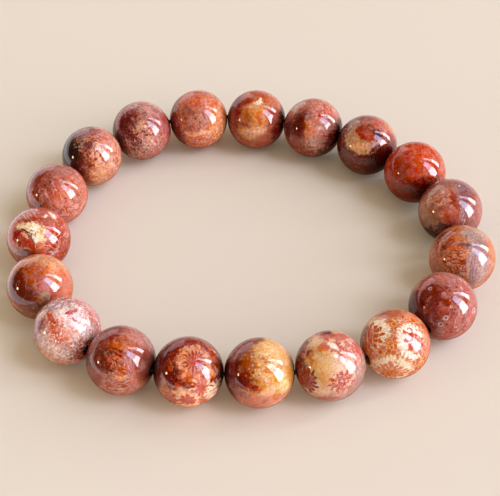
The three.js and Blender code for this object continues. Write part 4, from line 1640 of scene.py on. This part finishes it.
ROUNDED = Stone("brown round", Slot.RED, 0xCC7C52, (
    paint(0xC4805E, Spot((-0.05, 0.88), 0.6, soft=0.9)),
    paint(0xDE9E72, Spot((0.6, 0.6), 0.46, soft=0.9)),
    paint(0xC8684A, Spot((0.7, 0.05), 0.46, 1.3, 70, 0.8)),
    paint(0xC47C56, Mottle(8, share=0.5, soft=0.1, seed=3), strength=0.4),
    paint(0x8A3A20, Spot((-0.4, 0.1), 0.6, soft=0.3, ragged=0.12)),
    paint(0xB05A38, Spot((-0.2, 0.46), 0.3, 1.4, 10, 0.8)),
    paint(0xA24C2E, Spot((-0.24, 0.33), 0.32, soft=0.7), strength=0.8),
    paint(0x7A301C, Ring((-0.24, 0.33), 0.3, width=0.1, soft=0.9, ragged=0.15), strength=0.55),
    paint(0x7A301C, Ring((-0.24, 0.33), 0.2, width=0.12, soft=0.9, ragged=0.15), strength=0.45),
    paint(0x5A1406, Spot((-0.74, 0.0), 0.4, 1.4, 90, 0.8)),
    paint(0x581808, Spot((-0.45, -0.35), 0.32, 1.3, 20, 0.8)),
    paint(0xB06C4A, Spot((-0.35, -0.1), 0.45), Veins(3.5, 4.5, 80, width=0.018, soft=0.9), strength=0.6),
    paint(0x4A160C, Spot((-0.3, 0.1), 0.6), Specks(13, size=0.22, share=0.34), strength=0.6),
    paint(0xB0706A, Spot((0.1, 0.06), 0.2, 1.4, 80, 0.9), strength=0.85),
    paint(0xA8483A, Spot((0.4, -0.2), 0.16, 1.3, 20, 0.9), strength=0.9),
    paint(0xA88E78, Spot((0.17, -0.28), 0.13, 1.1, 0, 0.25, 0.15), grit=0.2),
    paint(0x8E4E3C, Spot((0.1, -0.5), 0.22, 1.4, 0, 0.8), strength=0.8),
    paint(0x6A2C1C, Spot((-0.3, -0.6), 0.3, 1.5, 0, 0.8), strength=0.8),
    paint(0x8A5C46, Spot((-0.35, -0.92), 0.4, 1.3, -20, 0.8)),
), drift=Drift(0.05, 0.03), grain=Grain(0.17, 0.36, 12), shade=0.4)

STONES = (
    VEILED, BURNT, FLOWERED, AMBER, HONEY, CREAM_FLOWERS, PITTED, WEDGED, MAUVE, BRICK,
    GOLDEN, BANDED, HEARTED, DUSTY, NETTED, SMOKED, LINED, SEAMED, ROUNDED,
)


def closed_mesh(name: str, grid: np.ndarray) -> bpy.types.Mesh:
    """Makes a smooth mesh from places on a grid that meets itself along both its sides.

    Args:
        name: The mesh's name.
        grid: The places, by row and by column.

    Returns:
        The mesh.
    """
    rows, columns = grid.shape[:2]
    row, column = np.meshgrid(np.arange(rows), np.arange(columns), indexing="ij")
    next_row, next_column = (row + 1) % rows, (column + 1) % columns
    around = [(row, column), (row, next_column), (next_row, next_column), (next_row, column)]
    faces = np.stack([r * columns + c for r, c in around], axis=-1).reshape(-1, 4)
    made = bpy.data.meshes.new(name)
    made.from_pydata(grid.reshape(-1, 3).tolist(), [], faces.tolist())
    made.shade_smooth()
    made.validate()
    return made


@dataclass(frozen=True)
class Bead:
    """One drilled, rounded and polished stone of the ring."""

    number: int
    stone: Stone
    middle: Vector
    along: Vector
    side: PhotoSide
    hole_radius: float = 0.6 * MM
    countersink_radius: float = 0.85 * MM
    countersink_depth: float = 0.25 * MM
    mouth_wear: float = 0.05 * MM
    unevenness: float = 0.006 * MM
    steps_round: int = 128
    steps_along: int = 96
    fine_steps_round: int = 352
    fine_steps_along: int = 256
    wall_steps: int = 8

    # How many waves of wear run round a mouth, one kind over the other.
    WEAR_WAVES: ClassVar[tuple[int, int]] = (3, 5)

    # How close the waves of unevenness lie. The closer they are, the lower they are.
    UNEVEN_WAVES: ClassVar[tuple[int, ...]] = (2, 3, 5, 8)
    ROUNDING: ClassVar[float] = 1e-6

    def grid(self) -> np.ndarray:
        """Turns half of the bead's section round the hole.

        Returns:
            Places about the bead's middle, by row along the closed section and by column round the hole.
        """
        rows = self.fine_steps_along if self.stone.fine_mesh else self.steps_along
        columns = self.fine_steps_round if self.stone.fine_mesh else self.steps_round
        turns = np.linspace(0, FULL_TURN, columns, endpoint=False)
        few, more = self.WEAR_WAVES
        wear = self.mouth_wear * np.sin(few * turns + self.number) * np.sin(more * turns)
        mouth = np.arcsin((self.countersink_radius + wear) / BEAD_RADIUS)
        wall_end = BEAD_RADIUS * math.cos(float(mouth.mean())) - self.countersink_depth
        angles = mouth + (math.pi - 2 * mouth) * np.linspace(0, 1, rows + 1)[:, None]
        walls = np.linspace(wall_end, -wall_end, self.wall_steps + 1)[:, None].repeat(columns, axis=1)
        heights = np.concatenate([-BEAD_RADIUS * np.cos(angles), -walls])
        reaches = np.concatenate([BEAD_RADIUS * np.sin(angles), np.full_like(walls, self.hole_radius)])
        axis = np.array(self.along)
        sideways = np.array((-axis[1], axis[0], 0.0))
        outwards = np.outer(np.cos(turns), sideways) + np.outer(np.sin(turns), (0.0, 0.0, 1.0))
        return heights[..., None] * axis + reaches[..., None] * outwards

    def worked(self, points: np.ndarray) -> np.ndarray:
        """Makes the round outside slightly uneven, and cuts its pits.

        Args:
            points: Rows of places about the bead's middle.

        Returns:
            The rows, moved in and out.
        """
        reach = np.linalg.norm(points, axis=1)
        is_outside = reach > BEAD_RADIUS * (1 - self.ROUNDING)
        ways = points / reach[:, None]
        chance = np.random.default_rng(self.number)
        lift = np.zeros(len(points))
        for waves in self.UNEVEN_WAVES:
            across = chance.normal(size=3)
            across /= np.linalg.norm(across)
            start = chance.uniform(0, FULL_TURN)
            lift += self.unevenness / waves * np.sin(2 * waves * (ways @ across) + start)
        folded = self.side.folded(ways)
        for pit in self.stone.pits:
            lift -= BEAD_RADIUS * pit.depth(folded, self.side)
        return points + ways * (lift * is_outside)[:, None]

    def build(self) -> None:
        """Makes the bead, dresses it and puts it in its place."""
        name = f"coral_bead_{self.number:02d}"
        grid = self.grid()
        mesh = closed_mesh(name, self.worked(grid.reshape(-1, 3)).reshape(grid.shape))
        mesh.materials.append(self.stone.dress(self.side, self.along, self.number))
        made = linked(name, mesh)
        made.location = self.middle
        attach(made, BODY)
        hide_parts(f"bead_{self.number:02d}")
        LOG.info("%s: %s, %d faces", name, self.stone.name, len(mesh.polygons))


@dataclass(frozen=True)
class ElasticCord:
    """The closed loop of black stretch cord inside the stones: round strands with a slight twist."""

    beads: Sequence[Bead]
    radius: float = 0.35 * MM
    strands: int = 7
    strand_depth: float = 0.03 * MM
    turn_length: float = 4.0 * MM
    steps_round: int = 42
    steps_per_run: int = 8
    colour: int = 0x14100F
    worn_colour: int = 0x2A2422
    worn_scale: float = 8.0
    worn_detail: float = 4.0
    worn_levels: tuple[float, float] = (0.4, 0.7)
    roughness: float = 0.6

    def route(self) -> np.ndarray:
        """Runs the cord straight through each hole, with a smooth bend where two holes meet.

        Returns:
            Rows of places, closed on themselves.
        """
        inner = BEAD_RADIUS / 2
        bends = []
        for bead, after in zip(self.beads, [*self.beads[1:], self.beads[0]]):
            bend = (bead.middle + bead.along * BEAD_RADIUS + after.middle - after.along * BEAD_RADIUS) / 2
            bends += [bead.middle - bead.along * inner, bead.middle + bead.along * inner, bend]
        here = np.array(bends)
        before, after, later = (np.roll(here, shift, axis=0) for shift in (1, -1, -2))

        # A cubic curve from each place to the next, whose slopes at its ends come from the places around.
        shares = np.linspace(0, 1, self.steps_per_run, endpoint=False)[None, :, None]
        here, before, after, later = (points[:, None] for points in (here, before, after, later))
        bent = 2 * here + (after - before) * shares
        bent += (2 * before - 5 * here + 4 * after - later) * shares**2
        bent += (3 * here - before - 3 * after + later) * shares**3
        return (bent / 2).reshape(-1, 3)

    def grid(self) -> np.ndarray:
        """Lays rings of ridged section along the route.

        Returns:
            Places by ring and by place on the ring.
        """
        route = self.route()
        ahead = np.roll(route, -1, axis=0) - np.roll(route, 1, axis=0)
        ahead /= np.linalg.norm(ahead, axis=1)[:, None]
        up = np.array((0.0, 0.0, 1.0))
        sideways = np.cross(up, ahead)
        length = np.linalg.norm(np.roll(route, -1, axis=0) - route, axis=1)
        turns_in_all = round(length.sum() / self.turn_length)
        twist = FULL_TURN * turns_in_all * (np.cumsum(length) - length) / length.sum()
        turns = np.linspace(0, FULL_TURN, self.steps_round, endpoint=False)
        ridge = np.abs(np.cos(self.strands / 2 * (turns[None] + twist[:, None])))
        reach = self.radius - self.strand_depth * (1 - ridge)
        outwards = np.cos(turns)[None, :, None] * sideways[:, None] + np.sin(turns)[None, :, None] * up
        return (route[:, None] + reach[..., None] * outwards)[:, ::-1]

    def dress(self) -> bpy.types.Material:
        """Makes the rubbery black of the cord, a little greyer where it is worn."""
        made, sheet, surface = new_material("Stretch cord")
        place = sheet.scaled(sheet.node("ShaderNodeTexCoord").outputs["Object"], 1 / BEAD_RADIUS)
        cloud = sheet.noise(place, self.worn_scale, self.worn_detail).outputs["Fac"]
        worn = sheet.ramp(cloud, *self.worn_levels)
        sheet.feed(surface["Base Color"], sheet.mix(linear(self.colour), linear(self.worn_colour), worn))
        sheet.feed(surface["Roughness"], self.roughness)
        return made

    def build(self) -> None:
        """Makes the cord in its place."""
        mesh = closed_mesh("stretch_cord", self.grid())
        mesh.materials.append(self.dress())
        made = linked("stretch_cord", mesh)
        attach(made, BODY)
        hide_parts("elastic_cord")
        LOG.info("stretch_cord: %d faces", len(mesh.polygons))


@dataclass(frozen=True)
class Camera:
    """The photograph's camera, which stands back from what it aims at, with a slight roll."""

    aim: tuple[float, float, float] = (0.563 * MM, -3.56 * MM, 4.879 * MM)
    distance: float = 172.47 * MM
    elevation: float = math.radians(48.03)
    roll: float = math.radians(-3.965)
    lens_mm: float = 80.08
    sensor_mm: float = 36.0
    nearest: float = 0.01
    farthest: float = 50.0

    def axes(self) -> tuple[Vector, Vector, Vector]:
        """Returns the camera's own directions across, up and back."""
        back = Vector((0, -math.cos(self.elevation), math.sin(self.elevation)))
        level = Vector((1, 0, 0))
        across = level * math.cos(self.roll) + back.cross(level) * math.sin(self.roll)
        return across, back.cross(across), back

    def place(self) -> Vector:
        """Returns where the camera stands."""
        return Vector(self.aim) + self.axes()[2] * self.distance

    def side_of(self, middle: Vector) -> PhotoSide:
        """Finds the side of a stone that the camera sees.

        Args:
            middle: The stone's middle.

        Returns:
            The side, with its up as near the camera's own as it can be.
        """
        towards = (self.place() - middle).normalized()
        across = self.axes()[0]
        across = (across - towards * across.dot(towards)).normalized()
        return PhotoSide(across, towards.cross(across), towards)

    def build(self) -> None:
        """Makes the camera and gives it to the scene."""
        data = bpy.data.cameras.new("photo_camera")
        data.lens = self.lens_mm
        data.sensor_width = self.sensor_mm
        data.clip_start, data.clip_end = self.nearest, self.farthest
        made = linked("photo_camera", data)
        made.matrix_world = Matrix.Translation(self.place()) @ Matrix(self.axes()).transposed().to_4x4()
        bpy.context.scene.camera = made


def panel_power(radiance: float, width: float, height: float) -> float:
    """Returns the power at which a flat panel of light has a radiance."""
    return radiance * width * height * math.pi


@dataclass(frozen=True)
class Softbox:
    """An upright panel of light, which the polished stones mirror.

    Its edges are the bearings, in degrees from +X, at which the ring's middle sees its sides. Heights are
    in metres, and so is its distance, along the bearing that it faces. The stones mirror its radiance,
    and everything is lit by a share of it.
    """

    name: str
    edges: tuple[float, float]
    heights: tuple[float, float]
    radiance: float
    mirrored: int
    lighting: int
    share: float = 1.0
    distance: float = 1.2
    facing: float | None = None

    def place(self) -> tuple[Matrix, float, float]:
        """Works out where the panel stands.

        Returns:
            Its place, its width and its height.
        """
        facing = sum(self.edges) / 2 if self.facing is None else self.facing
        right, left = (self.distance * math.tan(math.radians(edge - facing)) for edge in self.edges)
        bearing = math.radians(facing)
        out = Vector((math.cos(bearing), math.sin(bearing), 0))
        leftward = Vector((-math.sin(bearing), math.cos(bearing), 0))
        up = Vector((0, 0, 1))
        middle = out * self.distance + leftward * ((left + right) / 2) + up * (sum(self.heights) / 2)
        axes = Matrix((leftward, up, out)).transposed().to_4x4()
        return Matrix.Translation(middle) @ axes, left - right, self.heights[1] - self.heights[0]

    def build(self) -> None:
        """Makes the panel twice: as the light that the stones mirror, and as the one that lights things."""
        place, width, height = self.place()
        for is_mirrored in (True, False):
            name = f"{self.name}_{'mirrored' if is_mirrored else 'lighting'}"
            radiance = self.radiance * (1.0 if is_mirrored else self.share)
            data = bpy.data.lights.new(name, "AREA")
            data.shape = "RECTANGLE"
            data.size, data.size_y = width, height
            data.energy = panel_power(radiance, width, height)
            data.color = linear(self.mirrored if is_mirrored else self.lighting)[:3]
            made = linked(name, data)
            made.matrix_world = place
            made.visible_camera = False
            made.visible_glossy = is_mirrored
            made.visible_diffuse = not is_mirrored


WINDOW_GLINT = 0xEAF5FF
SKY_GLINT = 0xB6D4FF
WINDOW_LIGHT = 0xDCE4FF
CURTAIN_LIGHT = 0xF4E4F0
CLOTH_LIGHT = 0xE4E4F4


@dataclass(frozen=True)
class Studio:
    """The pale floor, and the lights that stand where the stones in the photograph mirror them.

    The stones mirror the floor as darker near by, where it lies in their own shade.
    """

    softboxes: tuple[Softbox, ...] = (
        Softbox("window_near_low", (-35, -9), (0.0, 0.77), 18, WINDOW_GLINT, WINDOW_LIGHT, 0.64),
        Softbox("window_near_high", (-35, -9), (0.81, 2.15), 11, SKY_GLINT, WINDOW_LIGHT, 1.05),
        Softbox("window_far_low", (6, 17), (0.08, 0.8), 16, WINDOW_GLINT, WINDOW_LIGHT, 0.58),
        Softbox("window_far_high", (6, 17), (0.84, 2.2), 10, SKY_GLINT, WINDOW_LIGHT, 0.91),
        Softbox("curtain_1", (-50, -44), (0.0, 1.6), 2.0, CURTAIN_LIGHT, CURTAIN_LIGHT),
        Softbox("curtain_2", (-58, -53), (0.0, 1.6), 1.4, CURTAIN_LIGHT, CURTAIN_LIGHT),
        Softbox("curtain_3", (-67, -61), (0.0, 1.6), 1.0, CURTAIN_LIGHT, CURTAIN_LIGHT),
        Softbox("cloth_high", (97, 133), (0.0, 0.5), 1.6, CLOTH_LIGHT, CLOTH_LIGHT, 0.3, 0.8, 90),
        Softbox("cloth_low", (133, 169), (0.0, 0.28), 1.6, CLOTH_LIGHT, CLOTH_LIGHT, 0.3, 0.8, 90),
    )
    sheet_edges: tuple[float, float, float, float] = (-0.30, -0.045, -0.16, 0.16)
    sheet_radiance: float = 1.4
    sheet_level: float = 0.2 * MM
    lamp_place: tuple[float, float, float] = (-0.95, -0.21, 0.23)
    lamp_radius: float = 0.055
    lamp_radiance: float = 25
    lamp_light: int = 0xFFE8C8
    floor_half_side: float = 2.0
    floor_level: float = -0.122 * MM
    floor_colour: int = 0xDBD1C0
    floor_mirrored: int = 0xA08C74
    floor_near: tuple[float, float] = (5 * MM, 12 * MM)
    floor_roughness: float = 0.8
    floor_specular: float = 0.2
    room_light: tuple[float, float, float, float] = (0.66, 0.56, 0.43, 1.0)
    room_mirrored: tuple[float, float, float, float] = (0.15, 0.08, 0.04, 1.0)
    backdrop: int = 0xE8E0D6

    def build(self) -> None:
        """Makes the floor, the lights and the room's own dim light."""
        bpy.context.scene.view_settings.view_transform = "Standard"
        self.build_floor()
        for softbox in self.softboxes:
            softbox.build()
        self.build_lamp()
        self.build_sheet()
        self.build_room()

    def build_floor(self) -> None:
        """Makes the plain pale floor, just under the lowest point of the stones."""
        side, level = self.floor_half_side, self.floor_level
        corners = [(-side, -side, level), (side, -side, level), (side, side, level), (-side, side, level)]
        mesh = bpy.data.meshes.new("floor")
        mesh.from_pydata(corners, [], [(0, 1, 2, 3)])
        finish, sheet, surface = new_material("Pale floor")
        path = sheet.node("ShaderNodeLightPath").outputs
        far = sheet.ramp(path["Ray Length"], *self.floor_near)
        mirrored = sheet.mix(linear(self.floor_mirrored), linear(self.floor_colour), far)
        colour = sheet.mix(linear(self.floor_colour), mirrored, path["Is Glossy Ray"])
        sheet.feed(surface["Base Color"], colour)
        sheet.feed(surface["Roughness"], self.floor_roughness)
        sheet.feed(surface["Specular IOR Level"], self.floor_specular)
        mesh.materials.append(finish)
        floor = linked("floor", mesh)

    def build_lamp(self) -> None:
        """Makes the small warm lamp at the far left."""
        data = bpy.data.lights.new("lamp", "POINT")
        data.shadow_soft_size = self.lamp_radius
        skin = 4 * math.pi * self.lamp_radius**2
        data.energy = self.lamp_radiance * skin * math.pi
        data.color = linear(self.lamp_light)[:3]
        made = linked("lamp", data)
        made.location = self.lamp_place
        made.visible_camera = False

    def build_sheet(self) -> None:
        """Makes the cool light that lies low at the left, which only the stones mirror."""
        left, right, front, back = self.sheet_edges
        data = bpy.data.lights.new("sheet_mirrored", "AREA")
        data.shape = "RECTANGLE"
        data.size, data.size_y = right - left, back - front
        data.energy = panel_power(self.sheet_radiance, data.size, data.size_y)
        data.color = linear(CLOTH_LIGHT)[:3]
        made = linked("sheet_mirrored", data)
        made.location = ((left + right) / 2, (front + back) / 2, self.sheet_level)
        made.rotation_euler = (math.pi, 0, 0)
        made.visible_camera = False
        made.visible_diffuse = False

    def build_room(self) -> None:
        """Fills the room with soft warm light, which the stones mirror dimly, and makes it pale behind."""
        world = bpy.data.worlds.new("studio")
        world.use_nodes = True
        bpy.context.scene.world = world
        sheet = NodeSheet(world.node_tree)
        path = sheet.node("ShaderNodeLightPath").outputs
        colour = sheet.mix(self.room_light, self.room_mirrored, path["Is Glossy Ray"])
        colour = sheet.mix(colour, linear(self.backdrop), path["Is Camera Ray"])
        sheet.feed(world.node_tree.nodes["Background"].inputs["Color"], colour)


def strung(camera: Camera) -> list[Bead]:
    """Reads from the frame where the stones are, and turns each hole along the line between its neighbours.

    Args:
        camera: The photograph's camera.

    Returns:
        The beads, in order.
    """
    boxes = [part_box(f"bead_{number:02d}") for number in range(1, BEAD_COUNT + 1)]
    middles = [(low + high) / 2 for low, high in boxes]
    beads = []
    for i, (stone, middle) in enumerate(zip(STONES, middles)):
        along = (middles[(i + 1) % BEAD_COUNT] - middles[i - 1]).normalized()
        beads.append(Bead(i + 1, stone, middle, along, camera.side_of(middle)))
    return beads


def main() -> None:
    """Builds the studio, the stones and the cord, and notes the sizes."""
    logging.basicConfig(level=logging.INFO, format="%(message)s")
    camera = Camera()
    camera.build()
    Studio().build()
    beads = strung(camera)
    for bead in beads:
        bead.build()
    ElasticCord(beads).build()


if __name__ == "__main__":
    main()
